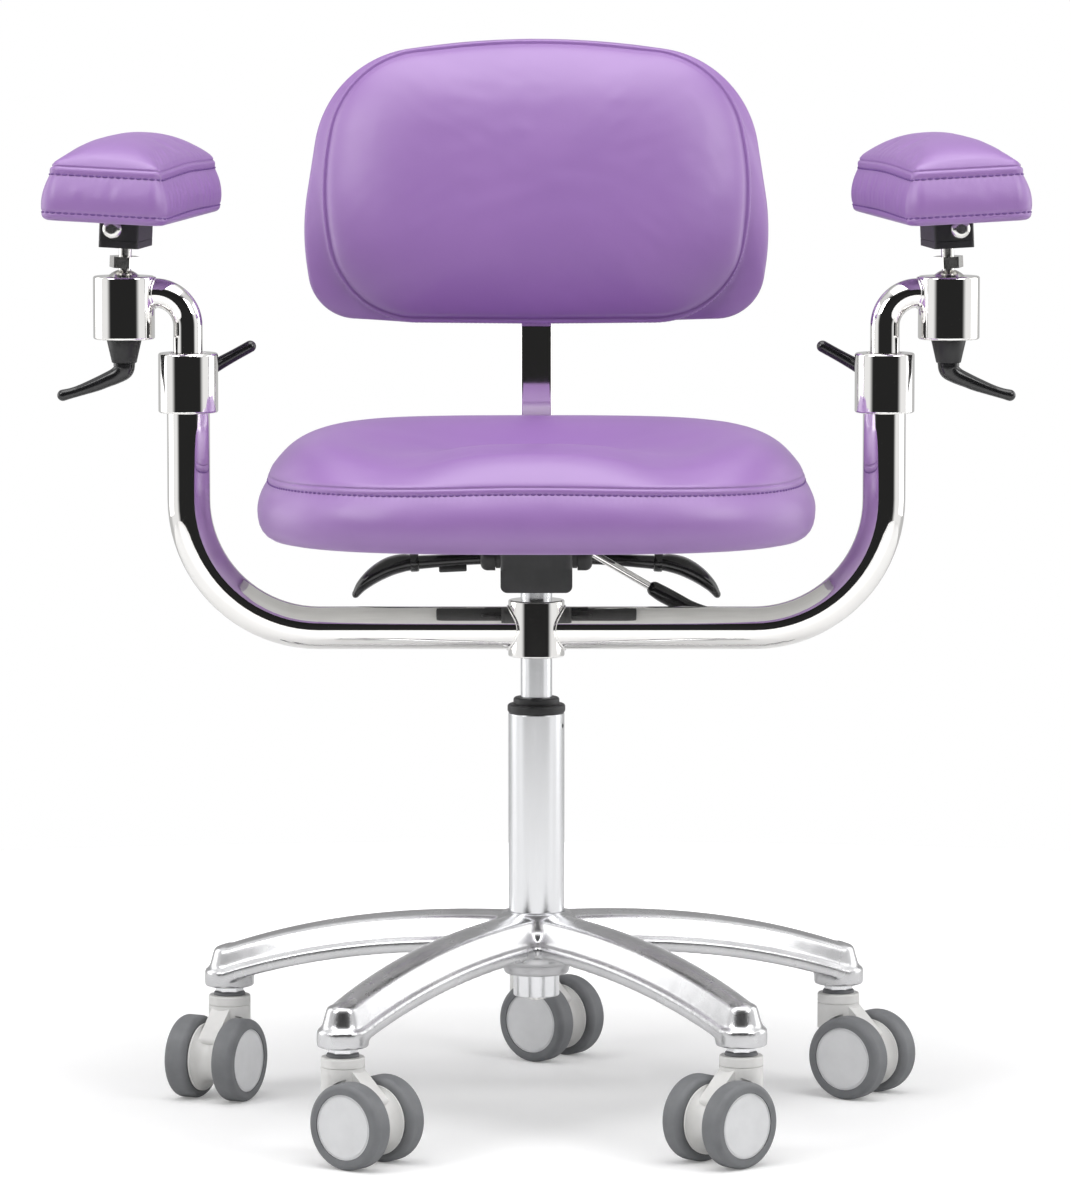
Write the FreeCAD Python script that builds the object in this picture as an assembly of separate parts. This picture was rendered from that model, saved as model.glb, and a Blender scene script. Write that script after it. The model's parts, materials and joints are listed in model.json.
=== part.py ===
import FreeCAD, Part
import math
import os
from FreeCAD import Placement, Rotation, Vector

# Work chair on castors with a gas lift, a tilting seat, a reclining back and two adjustable arm rests.
# Millimetres. +Z is up, +Y points to the back of the chair and +X to the right seen from the front.
# The origin lies on the floor under the column. Left and right are meant as seen from the front.

# Clearances
RUN_FIT = 0.05  # radial clearance of a turning or sliding fit
PRESS_GAP = 0.02  # gap drawn between pressed or bonded pieces
SOFT_GAP = 0.3  # gap between upholstery and the piece that carries it
SIDE_PLAY = 0.4  # play beside a lever eye, an ear or a slide
SWING_GAP = 2.0  # gap between a wheel and the castor body, and beside the recline eye
END_PLAY = 1.0  # free length past the end of a pin, screw or bolt in its hole
OVERCUT = 1.0  # how far a cutter passes the face that it cuts

# Castors
WHEEL_DIA = 75.0
TYRE_WIDTH = 21.0
TYRE_ROUND = 5.0
WHEEL_SPACING = 48.0  # between the centre planes of the two wheels
HUB_DIA = 57.0
HUB_RIM_WIDTH = 1.0
HUB_RIM_INSET = 1.2
HUB_RIM_DEPTH = 0.5
HUB_EDGE = 0.6
HUB_RECESS = 1.0  # the hub's faces lie this far inside the tyre's sides
TRAIL = 26.0  # from the swivel axis to the wheel axis
AXLE_DIA = 8.0
AXLE_OVERHANG = 5.0  # past each wheel's centre plane
NECK_DIA = 38.0
NECK_LENGTH = 32.0
NECK_LINE_DEPTH = 9.0  # of the parting line below the neck's top
NECK_LINE_WIDTH = 0.8
NECK_ROUND = 1.5
NECK_FLOOR = 6.0  # under the stem's bore
CASTOR_HEIGHT = 92.0  # top of the neck above the floor
SPOOL_DIA = 61.0
SPOOL_WAIST_DIA = 40.0
SPOOL_LIP = 1.6
WEB_WIDTH = 18.0
WEB_REACH = 15.0  # of the web on both sides of the swivel axis
WEB_AHEAD = 18.0  # of the web's far corner past the axle, and over it
WEB_ROUND = 2.0
STEM_DIA = 11.0
STEM_SHOW = 8.0  # between the neck and the leg
STEM_HEX = 22.0
STEM_GRIP = 26.0  # depth of the stem in the leg
CASTOR_CIRCLE_RADIUS = 291.0
BASE_TURN_DEG = 1.2
LEG_COUNT = 5
CASTOR_NAMES = ["rear", "rear_left", "front_left", "front_right", "rear_right"]
CASTOR_TRAIL_DEG = {
    "rear": -37.0,
    "rear_left": -116.0,
    "front_left": -36.0,
    "front_right": -137.0,
    "rear_right": -35.0,
}

# Base star
LEG_RISE = 82.5  # from the leg's end to the top of the star
LEG_DROP = 42.5  # of the ridge from the hub to the castor
LEG_CURVE = 2.4  # exponent of that drop
LEG_DEPTH = 36.0
LEG_ROOT_WIDTH = 66.0
LEG_TIP_WIDTH = 45.0
RIDGE_ROOT_WIDTH = 38.0
RIDGE_TIP_WIDTH = 27.0
LEG_STEP = 4.0  # width of the ledge along the leg's flange
LEG_CROWN = 5.0
FLANGE_HEIGHT = 11.0
LEG_WALL = 5.0
FLANGE_ROUND = 1.5
STEP_ROUND = 1.0
RIDGE_ROUND = 5.0
CROWN_ROUND = 20.0
LEG_STATIONS = [0.06, 0.27, 0.48, 0.67, 0.84, 1.0]  # sections of the leg, as shares of the castor circle
CHANNEL_STATIONS = [0.0, 0.33, 0.66, 1.0]  # sections of the hollow under the leg
STAR_HUB_DIA = 94.0
STAR_HUB_DEPTH = 46.0
STAR_SOCKET_DIA = 57.0
STAR_SOCKET_DEPTH = 57.0  # from the star's top to the socket's lower rim
STAR_NOSE_DIA = 56.0
STAR_SHOULDER_DROP = 15.0
STAR_SHOULDER_ROUND = 9.0
STAR_EDGE_ROUND = 2.0
STAR_SOCKET_FLARE = 3.0

# Column and gas lift
COLUMN_DIA = 50.0
COLUMN_WALL = 4.0
COLUMN_SHOW = 177.5
COLUMN_FOOT_DIA = 41.0
COLUMN_FOOT_LENGTH = 20.0
COLUMN_FLOOR = 8.0
COLUMN_EDGE = 1.0
COLUMN_HOLE_DIA = 4.0
COLUMN_HOLE_DEPTH = 11.0  # below the column's top
COLUMN_HOLE_DEG = -20.0
BUSH_RING_HEIGHT = 8.0
BUSH_RING_OVERHANG = 0.75
BUSH_LIP_DIA = 41.0
BUSH_LIP_HEIGHT = 6.0
BUSH_LENGTH = 70.0  # inside the column
BUSH_ROUND = 2.5
BUSH_EDGE = 1.0
LIFT_DIA = 28.0
LIFT_WALL = 2.5
LIFT_FOOT_ABOVE_FLOOR = 71.0  # at rest, over the column's inner floor
LIFT_END_CAP = 10.0
LIFT_HEAD_BELOW_TAPER = 40.0
ROD_DIA = 10.0
ROD_LENGTH = 235.0
PISTON_HEIGHT = 14.0
BEARING_DIA = 22.0
BEARING_RACE = 2.0
BEARING_CAGE = 4.0
CLIP_DIA = 18.0
CLIP_THICKNESS = 2.0
TAPER_TOP_DIA = 26.0
VALVE_DIA = 6.0
VALVE_LENGTH = 3.0
LIFT_EDGE = 1.0
ROD_COLLAR = 2.0  # of the rod's shoulder over the bearing
ROD_COLLAR_HEIGHT = 3.0
ROD_TAIL = 1.5  # of the rod under its clip
CAGE_INSET = 0.8  # of the bearing's cage under its races

# Arm frame
ROD_SHOW = 36.5  # bare lift cylinder between the column's bush and the arm hub
ARM_HUB_DIA = 50.0
ARM_HUB_HEIGHT = 50.5
ARM_TUBE_DIA = 38.0
ARM_TUBE_WALL = 2.5
ARM_BEND_RADIUS = 115.0
ARM_STRAIGHT = 77.0  # upright run from the bend to the collar
ARM_SEAT_GAP = 62.0  # from the seat's side to the axis of the upright tube
COLLAR_DIA = 53.0
COLLAR_HEIGHT = 53.0
COLLAR_ROUND = 2.0
ARM_HUB_ROUND = 1.5

# Arm elbow with its ball sleeve
ELBOW_DIA = 26.0
ELBOW_WALL = 2.5
ELBOW_BEND_RADIUS = 29.0
ELBOW_RISE = 53.0  # from the collar's top to the elbow's level run
ELBOW_REACH = 56.5  # from the upright tube to the sleeve
ELBOW_FOOT_ROOM = 25.0  # between the elbow's foot and the arm tube's bend
ARM_BUSH_LENGTH = 60.0
SLEEVE_DIA = 54.5
SLEEVE_HEIGHT = 56.0
SLEEVE_RISE = 15.12  # of the sleeve's top over the elbow's axis
SLEEVE_ROUND = 2.0
SLEEVE_FLOOR = 6.0
BALL_DIA = 38.0
BALL_SHOW = 6.0  # height of the ball above the sleeve
BALL_GAP = 0.3

# Ball stud, block and pad, in the tilted frame of the ball
PAD_TOE_DEG = 10.1
PAD_PITCH_DEG = 1.0
PAD_ROLL_DEG = 2.7
STUD_DIA = 11.4
STUD_SHOW = 20.3  # from the ball's top to the block
STUD_GRIP = 14.0
NUT_AF = 24.0
NUT_HEIGHT = 10.0
NUT_LIFT = 1.4  # between the ball and the nut
BLOCK_WIDTH = 36.0
BLOCK_LENGTH = 57.0
BLOCK_HEIGHT = 27.0
BLOCK_ROUND = 3.0
BLOCK_LINE_HEIGHT = 6.0
BLOCK_LINE_DEPTH = 0.6
BOLT_HEAD_DIA = 18.5
BOLT_HEAD_HEIGHT = 6.0
BOLT_DIA = 8.0
BOLT_LENGTH = 23.0
BOLT_CROWN = 5.4
BOLT_SIDE = 5.0  # towards the outer side of the block
BOLT_HEIGHT = 17.0  # above the block's lower face
PAD_WIDTH = 114.0
PAD_LENGTH = 235.0
PAD_SIDE = 5.0  # of the pad's middle from the stud, towards the seat
PAD_CORNER = 22.0
PAD_CORNER_LIMIT = 0.8  # of the half width where the pad is narrow
PAD_HEIGHT = 70.0
PAD_SECTIONS = [
    (0.0, 0.13),
    (0.07, 0.035),
    (0.19, 0.0),
    (0.34, 0.0),
    (0.51, 0.046),
    (0.66, 0.11),
    (0.79, 0.24),
    (0.885, 0.41),
    (0.955, 0.59),
    (1.0, 0.78),
]  # share of the pad's height, inset as a share of its half width

# Clamp levers
CONE_TOP_DIA = 31.0
CONE_LOW_DIA = 21.5
CONE_HEIGHT = 20.4
GRIP_ROOT_DIA = 18.0
GRIP_TIP_DIA = 11.0
PAD_LEVER_DROP = 7.0  # from the cone to the handle's root
PAD_LEVER_STATIONS = [
    (0.0, 0.0, 17.0, 16.0),
    (12.0, 6.6, 15.0, 14.0),
    (25.0, 12.3, 13.5, 12.0),
    (40.0, 17.8, 12.0, 10.0),
    (58.5, 22.8, 11.0, 9.5),
]  # out from the handle's root, down, width, thickness
CLAMP_SCREW_GRIP = 10.0  # of the screw in the sleeve or the collar
CLAMP_SCREW_DIA = 10.0
COLLAR_LEVER_STANDOFF = 12.0  # from the collar to the handle's axis
COLLAR_LEVER_REACH = 61.0
COLLAR_LEVER_RISE_DEG = 29.0

# Seat mechanism
MECH_GAP = 14.0  # bare lift cylinder between the arm hub and the mechanism
MECH_WIDTH = 63.0
MECH_FRONT = 80.0  # in front of the column
MECH_REAR = 96.0
MECH_ROUND = 6.0
COVER_HEIGHT = 19.5
COVER_WALL = 3.0
COVER_REAR = 52.0
COVER_HOLE_GAP = 1.5  # round the lift cylinder
HOUSING_HEIGHT = 15.5
SOCKET_BOSS_DIA = 40.0
TILT_PIN_FRONT = 30.0  # in front of the column
TILT_PIN_LIFT = 8.5  # above the housing's lower face
TILT_PIN_DIA = 10.0
PIN_CAP_DIA = 26.0
PIN_CAP_LENGTH = 13.0
PIN_CAP_ROUND = 6.0
RECLINE_PIN_REAR = 76.0
RECLINE_PIN_LIFT = 8.0
RECLINE_EYE_DIA = 15.0
EAR_THICKNESS = 4.0
EAR_WIDTH = 22.0
PLATE_GAP = 10.0  # room for the seat plate to tilt
PLATE_THICKNESS = 4.0
PLATE_WIDTH = 180.0
PLATE_FRONT = 100.0
PLATE_REAR = 70.0
PLATE_CORNER = 12.0

# Hand levers under the seat
HANDLE_CORNER = 0.42  # corner radius of a handle's section as a share of its smaller side
FORK_REACH = 8.5  # from the housing's side to the lever's pivot
FORK_CHEEK = 3.0
FORK_RIM = 1.0  # of the cheeks over and under the eye
PIN_HEAD = 1.0  # of a lever pin past its cheeks
EYE_DIA = 13.0
EYE_WIDTH = 10.0
LEVER_PIN_DIA = 6.0
PADDLE_REAR = 54.0  # behind the column
PADDLE_PIVOT_DROP = 1.5  # below the housing's lower face
STEM_ROD_DIA = 10.0
STEM_RUN = 66.0  # from the pivot to the ring
STEM_FALL = 4.0
RING_DIA = 17.0
RING_WIDTH = 7.0
PADDLE_STATIONS = [
    (6.0, 0.5, 16.0, 14.0),
    (20.0, 4.0, 25.0, 16.0),
    (37.0, 13.0, 28.0, 13.0),
    (50.0, 23.5, 25.0, 9.0),
    (57.0, 31.0, 16.0, 5.0),
]  # out from the ring, down, width, thickness
TAB_START = 24.0
TAB_LENGTH = 22.0
TAB_DROP = 11.0
TAB_THICKNESS = 3.0
BACK_LEVER_REAR = 30.0
BACK_LEVER_PIVOT_RISE = 11.0  # above the housing's lower face
BACK_LEVER_ROD_DIA = 6.5
BACK_LEVER_ROD_LENGTH = 77.0
BACK_LEVER_SLOPE_DEG = 30.4
BACK_GRIP_OVERLAP = 12.0  # of the rod in its grip
BACK_GRIP_STATIONS = [
    (0.0, 0.0, 14.0, 14.5),
    (20.0, 11.0, 15.0, 15.0),
    (36.0, 18.0, 16.0, 12.0),
    (52.0, 20.5, 12.0, 6.0),
]  # out from the rod's end, down, width, thickness

# Seat
SEAT_WIDTH = 493.0
SEAT_DEPTH = 450.0
SEAT_HEIGHT = 92.0
SEAT_FRONT_CORNER = 150.0
SEAT_REAR_CORNER = 165.0
SEAT_BOW = 18.0  # bow of the front and rear edges
SEAT_BOW_RADIUS = 700.0
SEAT_SECTIONS = [
    (0.0, 0.089),
    (0.091, 0.029),
    (0.205, 0.005),
    (0.318, 0.0),
    (0.477, 0.01),
    (0.636, 0.04),
    (0.773, 0.089),
    (0.886, 0.16),
    (0.955, 0.24),
    (0.989, 0.329),
    (1.0, 0.427),
    (1.0, 0.533),
]  # share of the seat's height, inset as a share of its half depth
BOWL_RADIUS = 700.0
BOWL_DEPTH = 13.0
BOWL_REAR = 40.0
THIGH_RADIUS = 330.0
THIGH_DEPTH = 16.0  # at the seat's front edge
THIGH_LENGTH = 250.0  # from the front edge to where the hollow runs out
THIGH_SPACING = 200.0
BOARD_THICKNESS = 12.0
BOARD_INSET = 34.0

# Back
BAR_WIDTH = 29.5
BAR_THICKNESS = 8.0
BAR_ROUND = 2.5
BAR_SEAT_GAP = 26.0  # from the seat's rear edge to the bar
BAR_DROP = 12.0  # of the bar towards its bend, so that it clears the seat when the back comes forward
BAR_BEND_RADIUS = 46.0
BAR_LEAN_DEG = 8.0
BAR_LEAN_RADIUS = 120.0
BAR_TOP = 190.0  # above the lean's corner
LEAN_ABOVE_SEAT = 68.0  # the lean's corner over the seat's top
BACK_WIDTH = 427.0
BACK_HEIGHT = 259.0
BACK_BASE = 7.0  # the cushion's lower edge over the lean's corner
BACK_THICKNESS = 52.0
BACK_CORNERS = [
    (0.0, 1.031, 0.5),
    (0.9, 0.928, 0.5),
    (1.012, 0.33, 0.45),
    (0.955, 0.026, 0.47),
    (0.0, -0.017, 0.5),
]  # share of the half width, share of the height, share of the shorter side that the corner's arc takes up
BACK_SECTIONS = [
    (0.0, 0.093),
    (0.096, 0.031),
    (0.27, 0.0),
    (0.5, 0.015),
    (0.673, 0.062),
    (0.808, 0.147),
    (0.894, 0.27),
    (0.952, 0.425),
    (0.987, 0.602),
    (1.0, 0.757),
]  # share of the thickness in front of the rear face, inset as a share of the half height
BACK_BOARD_THICKNESS = 10.0
BACK_BOARD_INSET = 16.0
CARRIER_LENGTH = 80.0
CARRIER_WIDTH = 56.0
CARRIER_WALL = 4.0
CARRIER_HEIGHT = 80.0  # its lower end over the lean's corner

# Heights of the stack, from the floor upwards
LEG_END_Z = CASTOR_HEIGHT + STEM_SHOW
STAR_TOP_Z = LEG_END_Z + LEG_RISE
COLUMN_TOP_Z = STAR_TOP_Z + COLUMN_SHOW
BUSH_TOP_Z = COLUMN_TOP_Z + BUSH_RING_HEIGHT + BUSH_LIP_HEIGHT
ARM_HUB_LOW_Z = BUSH_TOP_Z + ROD_SHOW
ARM_HUB_TOP_Z = ARM_HUB_LOW_Z + ARM_HUB_HEIGHT
ARM_AXIS_Z = (ARM_HUB_LOW_Z + ARM_HUB_TOP_Z) / 2
MECH_LOW_Z = ARM_HUB_TOP_Z + MECH_GAP
MECH_SEAM_Z = MECH_LOW_Z + COVER_HEIGHT
MECH_TOP_Z = MECH_SEAM_Z + HOUSING_HEIGHT
LIFT_TAPER_LOW_Z = MECH_LOW_Z + COVER_WALL + END_PLAY
LIFT_TAPER_TOP_Z = MECH_TOP_Z - VALVE_LENGTH - END_PLAY
PLATE_LOW_Z = MECH_TOP_Z + PLATE_GAP
SEAT_LOW_Z = PLATE_LOW_Z + PLATE_THICKNESS
SEAT_TOP_Z = SEAT_LOW_Z + SEAT_HEIGHT
ARM_BEND_TOP_Z = ARM_AXIS_Z + ARM_BEND_RADIUS
COLLAR_LOW_Z = ARM_BEND_TOP_Z + ARM_STRAIGHT
COLLAR_TOP_Z = COLLAR_LOW_Z + COLLAR_HEIGHT
ELBOW_AXIS_Z = COLLAR_TOP_Z + ELBOW_RISE
ELBOW_FOOT_Z = ARM_BEND_TOP_Z + ELBOW_FOOT_ROOM
STAR_SOCKET_Z = STAR_TOP_Z - STAR_SOCKET_DEPTH
COLUMN_FOOT_Z = STAR_SOCKET_Z - COLUMN_FOOT_LENGTH
COLUMN_FLOOR_Z = COLUMN_FOOT_Z + COLUMN_FLOOR

# Places that joints and pieces share
WHEEL_RADIUS = WHEEL_DIA / 2
WHEEL_INNER = (WHEEL_SPACING - TYRE_WIDTH) / 2
ARM_X = SEAT_WIDTH / 2 + ARM_SEAT_GAP
SLEEVE_X = ARM_X + ELBOW_REACH
BALL_RADIUS = BALL_DIA / 2
SLEEVE_TOP_Z = ELBOW_AXIS_Z + SLEEVE_RISE
SLEEVE_LOW_Z = SLEEVE_TOP_Z - SLEEVE_HEIGHT
BALL_CENTRE = Vector(-SLEEVE_X, 0, SLEEVE_TOP_Z + BALL_SHOW - BALL_RADIUS)
COLLAR_MID_Z = (COLLAR_LOW_Z + COLLAR_TOP_Z) / 2
MECH_HALF = MECH_WIDTH / 2
TILT_PIN = Vector(0, -TILT_PIN_FRONT, MECH_SEAM_Z + TILT_PIN_LIFT)
RECLINE_PIN = Vector(0, RECLINE_PIN_REAR, MECH_SEAM_Z + RECLINE_PIN_LIFT)
PADDLE_PIVOT = Vector(MECH_HALF + FORK_REACH, PADDLE_REAR, MECH_SEAM_Z - PADDLE_PIVOT_DROP)
BACK_LEVER_PIVOT = Vector(MECH_HALF + FORK_REACH, BACK_LEVER_REAR, MECH_SEAM_Z + BACK_LEVER_PIVOT_RISE)
FORK_HALF = EYE_WIDTH / 2 + SIDE_PLAY + FORK_CHEEK
BAR_Y = SEAT_DEPTH / 2 + BAR_SEAT_GAP + BAR_THICKNESS / 2
LEAN_CORNER = Vector(0, BAR_Y, SEAT_TOP_Z + LEAN_ABOVE_SEAT)
BAR_FACE_Y = BAR_Y - BAR_THICKNESS / 2 - SIDE_PLAY
BACK_REAR_Y = BAR_FACE_Y - BACK_BOARD_THICKNESS - SOFT_GAP
BACK_LOW_Z = LEAN_CORNER.z + BACK_BASE

X_AXIS = Vector(1, 0, 0)
Y_AXIS = Vector(0, 1, 0)
Z_AXIS = Vector(0, 0, 1)
ORIGIN = Vector(0, 0, 0)


def unit(vector):
    """The vector at length 1."""
    return vector * (1 / vector.Length)


def upright(radius, low, high, x=0.0, y=0.0):
    """Upright cylinder between two heights."""
    return Part.makeCylinder(radius, high - low, Vector(x, y, low))


def rod(radius, start, end):
    """Round bar between two points."""
    return Part.makeCylinder(radius, (end - start).Length, start, end - start)


def taper(start_radius, end_radius, start, end):
    """Round bar that narrows or widens between two points."""
    return Part.makeCone(start_radius, end_radius, (end - start).Length, start, end - start)


def block(low, high):
    """Box between two corners."""
    size = high - low
    return Part.makeBox(size.x, size.y, size.z, low)


def joined(first, *others):
    """One solid from several that meet."""
    return first.multiFuse(list(others)).removeSplitter()


def mirrored(shape):
    """The same piece for the right side."""
    return shape.mirror(ORIGIN, X_AXIS)


def on_side(point, side):
    """The point itself, or its mirror image for a side of -1."""
    return Vector(point.x * side, point.y, point.z)


def rounded_wire(corners, closed=True):
    """Straight runs through (point, radius) corners, joined by tangent arcs."""
    count = len(corners)
    arcs = []
    for index, (point, radius) in enumerate(corners):
        end_of_path = not closed and index in (0, count - 1)
        if radius == 0 or end_of_path:
            arcs.append((point, None, point))
            continue
        back = unit(corners[index - 1][0] - point)
        ahead = unit(corners[(index + 1) % count][0] - point)
        half = back.getAngle(ahead) / 2
        run = radius / math.tan(half)
        middle = point + unit(back + ahead) * (radius / math.sin(half) - radius)
        arcs.append((point + back * run, middle, point + ahead * run))
    edges = []
    for index, (start, middle, end) in enumerate(arcs):
        if middle is not None:
            edges.append(Part.Arc(start, middle, end).toShape())
        following = (index + 1) % count
        if closed or following:
            edges.append(Part.makeLine(end, arcs[following][0]))
    return Part.Wire(edges)


def eased_wire(corners):
    """Closed outline through (point, share) corners, each arc taking up that share of its shorter side."""
    rounded = []
    for index, (point, share) in enumerate(corners):
        back = corners[index - 1][0] - point
        ahead = corners[(index + 1) % len(corners)][0] - point
        run = share * min(back.Length, ahead.Length)
        rounded.append((point, run * math.tan(back.getAngle(ahead) / 2)))
    return rounded_wire(rounded)


def turned(profile):
    """Solid of revolution about Z from (radius, height, corner radius) points."""
    wire = rounded_wire([(Vector(r, 0, z), corner) for r, z, corner in profile])
    return Part.Face(wire).revolve(ORIGIN, Z_AXIS, 360)


def sleeve(radius, low, high, edge):
    """Upright cylinder on the Z axis with rounded ends."""
    return turned([(0, low, 0), (radius, low, edge), (radius, high, edge), (0, high, 0)])


def pipe(corners, radius):
    """Round bar along a path of straight runs and bends."""
    path = rounded_wire(corners, closed=False)
    circle = Part.Wire(Part.makeCircle(radius, corners[0][0], corners[1][0] - corners[0][0]))
    return path.makePipeShell([circle], True, False)


def prism(corners, run):
    """Solid pushed along a vector from a closed outline of (point, radius) corners."""
    return Part.Face(rounded_wire(corners)).extrude(run)


def hexagon(across_flats, low, high):
    """Upright hexagonal bar on the Z axis."""
    corner = across_flats / math.sqrt(3)
    turns = [math.radians(60 * i) for i in range(6)]
    points = [Vector(corner * math.cos(a), corner * math.sin(a), low) for a in turns]
    return Part.Face(Part.makePolygon(points + points[:1])).extrude(Vector(0, 0, high - low))


def ring_section(centre, across, up, width, height):
    """Rounded rectangle about a centre, for lofted handles."""
    corner = HANDLE_CORNER * min(width, height)
    signs = [(-1, -1), (1, -1), (1, 1), (-1, 1)]
    corners = [(centre + across * (s * width / 2) + up * (t * height / 2), corner) for s, t in signs]
    return rounded_wire(corners)


def lofted_handle(start, stations):
    """Handle in the X-Z plane through (out, down, width, thickness) stations from a start point."""
    points = [start + Vector(out, 0, -down) for out, down, _, _ in stations]
    sections = []
    for index, (_, _, width, thickness) in enumerate(stations):
        ahead = unit(points[min(index + 1, len(points) - 1)] - points[max(index - 1, 0)])
        sections.append(ring_section(points[index], Y_AXIS, Y_AXIS.cross(ahead) * -1, width, thickness))
    return Part.makeLoft(sections, True, False)


# Castors, built with the swivel axis on Z and the wheels trailing along +X
def about_axle(shape):
    """Moves a piece turned about Z onto the wheel axle."""
    shape.Placement = Placement(Vector(TRAIL, 0, WHEEL_RADIUS), Rotation(X_AXIS, -90))
    return shape


def castor_body():
    """Neck, web and the spool-shaped body between the wheels, with the axle pressed into it."""
    low = CASTOR_HEIGHT - NECK_LENGTH
    radius = NECK_DIA / 2
    neck = turned([(0, low, 0), (radius, low, 0), (radius, CASTOR_HEIGHT, NECK_ROUND), (0, CASTOR_HEIGHT, 0)])
    line_z = CASTOR_HEIGHT - NECK_LINE_DEPTH
    line_top = line_z + NECK_LINE_WIDTH
    line = upright(radius + OVERCUT, line_z, line_top)
    neck = neck.cut(line.cut(upright(radius - NECK_LINE_WIDTH, line_z, line_top)))
    half = WHEEL_INNER - 2 * SIDE_PLAY
    rim = SPOOL_DIA / 2
    waist = SPOOL_WAIST_DIA / 2
    edge = half - SPOOL_LIP
    outline = [Vector(0, 0, -half), Vector(rim, 0, -half), Vector(rim, 0, -edge)]
    edges = [Part.makeLine(outline[0], outline[1]), Part.makeLine(outline[1], outline[2])]
    edges.append(Part.Arc(Vector(rim, 0, -edge), Vector(waist, 0, 0), Vector(rim, 0, edge)).toShape())
    edges.append(Part.makeLine(Vector(rim, 0, edge), Vector(rim, 0, half)))
    edges.append(Part.makeLine(Vector(rim, 0, half), Vector(0, 0, half)))
    edges.append(Part.makeLine(Vector(0, 0, half), outline[0]))
    spool = about_axle(Part.Face(Part.Wire(edges)).revolve(ORIGIN, Z_AXIS, 360))
    web_top = CASTOR_HEIGHT - NECK_LINE_DEPTH
    web_corners = [
        (-WEB_REACH, low + WEB_ROUND, WEB_ROUND),
        (TRAIL, WHEEL_RADIUS, 0),
        (TRAIL + WEB_AHEAD, WHEEL_RADIUS + WEB_AHEAD, 2 * WEB_ROUND),
        (WEB_REACH, web_top, WEB_ROUND),
        (-WEB_REACH, web_top, WEB_ROUND),
    ]
    web = prism([(Vector(x, -WEB_WIDTH / 2, z), c) for x, z, c in web_corners], Y_AXIS * WEB_WIDTH)
    body = joined(neck, spool, web)
    for side in (-1, 1):
        start = WHEEL_INNER - SIDE_PLAY
        room = Part.makeCylinder(WHEEL_RADIUS + SWING_GAP, NECK_DIA, ORIGIN, Y_AXIS * side)
        room.translate(Vector(TRAIL, side * start, WHEEL_RADIUS))
        body = body.cut(room)
    body = body.cut(upright(STEM_DIA / 2 + RUN_FIT, low + NECK_FLOOR, CASTOR_HEIGHT + OVERCUT))
    axle_half = WHEEL_SPACING / 2 + AXLE_OVERHANG
    axle = about_axle(upright(AXLE_DIA / 2, -axle_half, axle_half))
    body = body.cut(about_axle(upright(AXLE_DIA / 2 + PRESS_GAP, -axle_half, axle_half)))
    return [body, axle]


def wheel_hub():
    """Disc of one wheel, blind on its outer face, on the +Z side before it is set on the axle."""
    inner = WHEEL_INNER + HUB_RECESS
    outer = WHEEL_INNER + TYRE_WIDTH - HUB_RECESS
    radius = HUB_DIA / 2
    disc = turned([(0, inner, 0), (radius, inner, 0), (radius, outer, HUB_EDGE), (0, outer, 0)])
    rim = radius - HUB_RIM_INSET
    groove_low = outer - HUB_RIM_DEPTH
    groove = upright(rim, groove_low, outer + OVERCUT)
    groove = groove.cut(upright(rim - HUB_RIM_WIDTH, groove_low, outer + OVERCUT))
    bore_end = WHEEL_SPACING / 2 + AXLE_OVERHANG + SIDE_PLAY
    return disc.cut(groove).cut(upright(AXLE_DIA / 2 + RUN_FIT, inner - OVERCUT, bore_end))


def wheel_tyre():
    """Tread ring of one wheel, on the +Z side before it is set on the axle."""
    inner = WHEEL_INNER
    outer = WHEEL_INNER + TYRE_WIDTH
    bore = HUB_DIA / 2 + PRESS_GAP
    return turned([(bore, inner, 0), (WHEEL_RADIUS, inner, TYRE_ROUND), (WHEEL_RADIUS, outer, TYRE_ROUND),
                   (bore, outer, 0)])


def castor_stem():
    """Pin and hexagon between the leg and the castor."""
    low = CASTOR_HEIGHT - NECK_LENGTH + NECK_FLOOR + END_PLAY
    pin = upright(STEM_DIA / 2, low, LEG_END_Z + STEM_GRIP - END_PLAY)
    return joined(pin, hexagon(STEM_HEX, CASTOR_HEIGHT + SIDE_PLAY, LEG_END_Z))


def castor_place(name):
    """Where a castor stands: its swivel axis on the circle and its trail direction."""
    index = CASTOR_NAMES.index(name)
    turn = math.radians(90 + BASE_TURN_DEG + 360 / LEG_COUNT * index)
    spot = Vector(CASTOR_CIRCLE_RADIUS * math.cos(turn), CASTOR_CIRCLE_RADIUS * math.sin(turn), 0)
    return Placement(spot, Rotation(Z_AXIS, CASTOR_TRAIL_DEG[name]))


def placed(shape, place):
    """A copy of a piece moved by a placement."""
    copy = shape.copy()
    copy.Placement = place.multiply(copy.Placement)
    return copy


def castors():
    """Every castor's pieces by node name."""
    nodes = {}
    body = castor_body()
    hub = wheel_hub()
    tyre = wheel_tyre()
    for name in CASTOR_NAMES:
        place = castor_place(name)
        nodes["castor_%s_body" % name] = [placed(solid, place) for solid in body]
        for side, turn in (("a", 0), ("b", 180)):
            flip = Placement(ORIGIN, Rotation(X_AXIS, turn))
            on_axle = Placement(Vector(TRAIL, 0, WHEEL_RADIUS), Rotation(X_AXIS, -90))
            spot = place.multiply(on_axle).multiply(flip)
            nodes["castor_%s_hub_%s" % (name, side)] = [placed(hub, spot)]
            nodes["castor_%s_tyre_%s" % (name, side)] = [placed(tyre, spot)]
    return nodes


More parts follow.
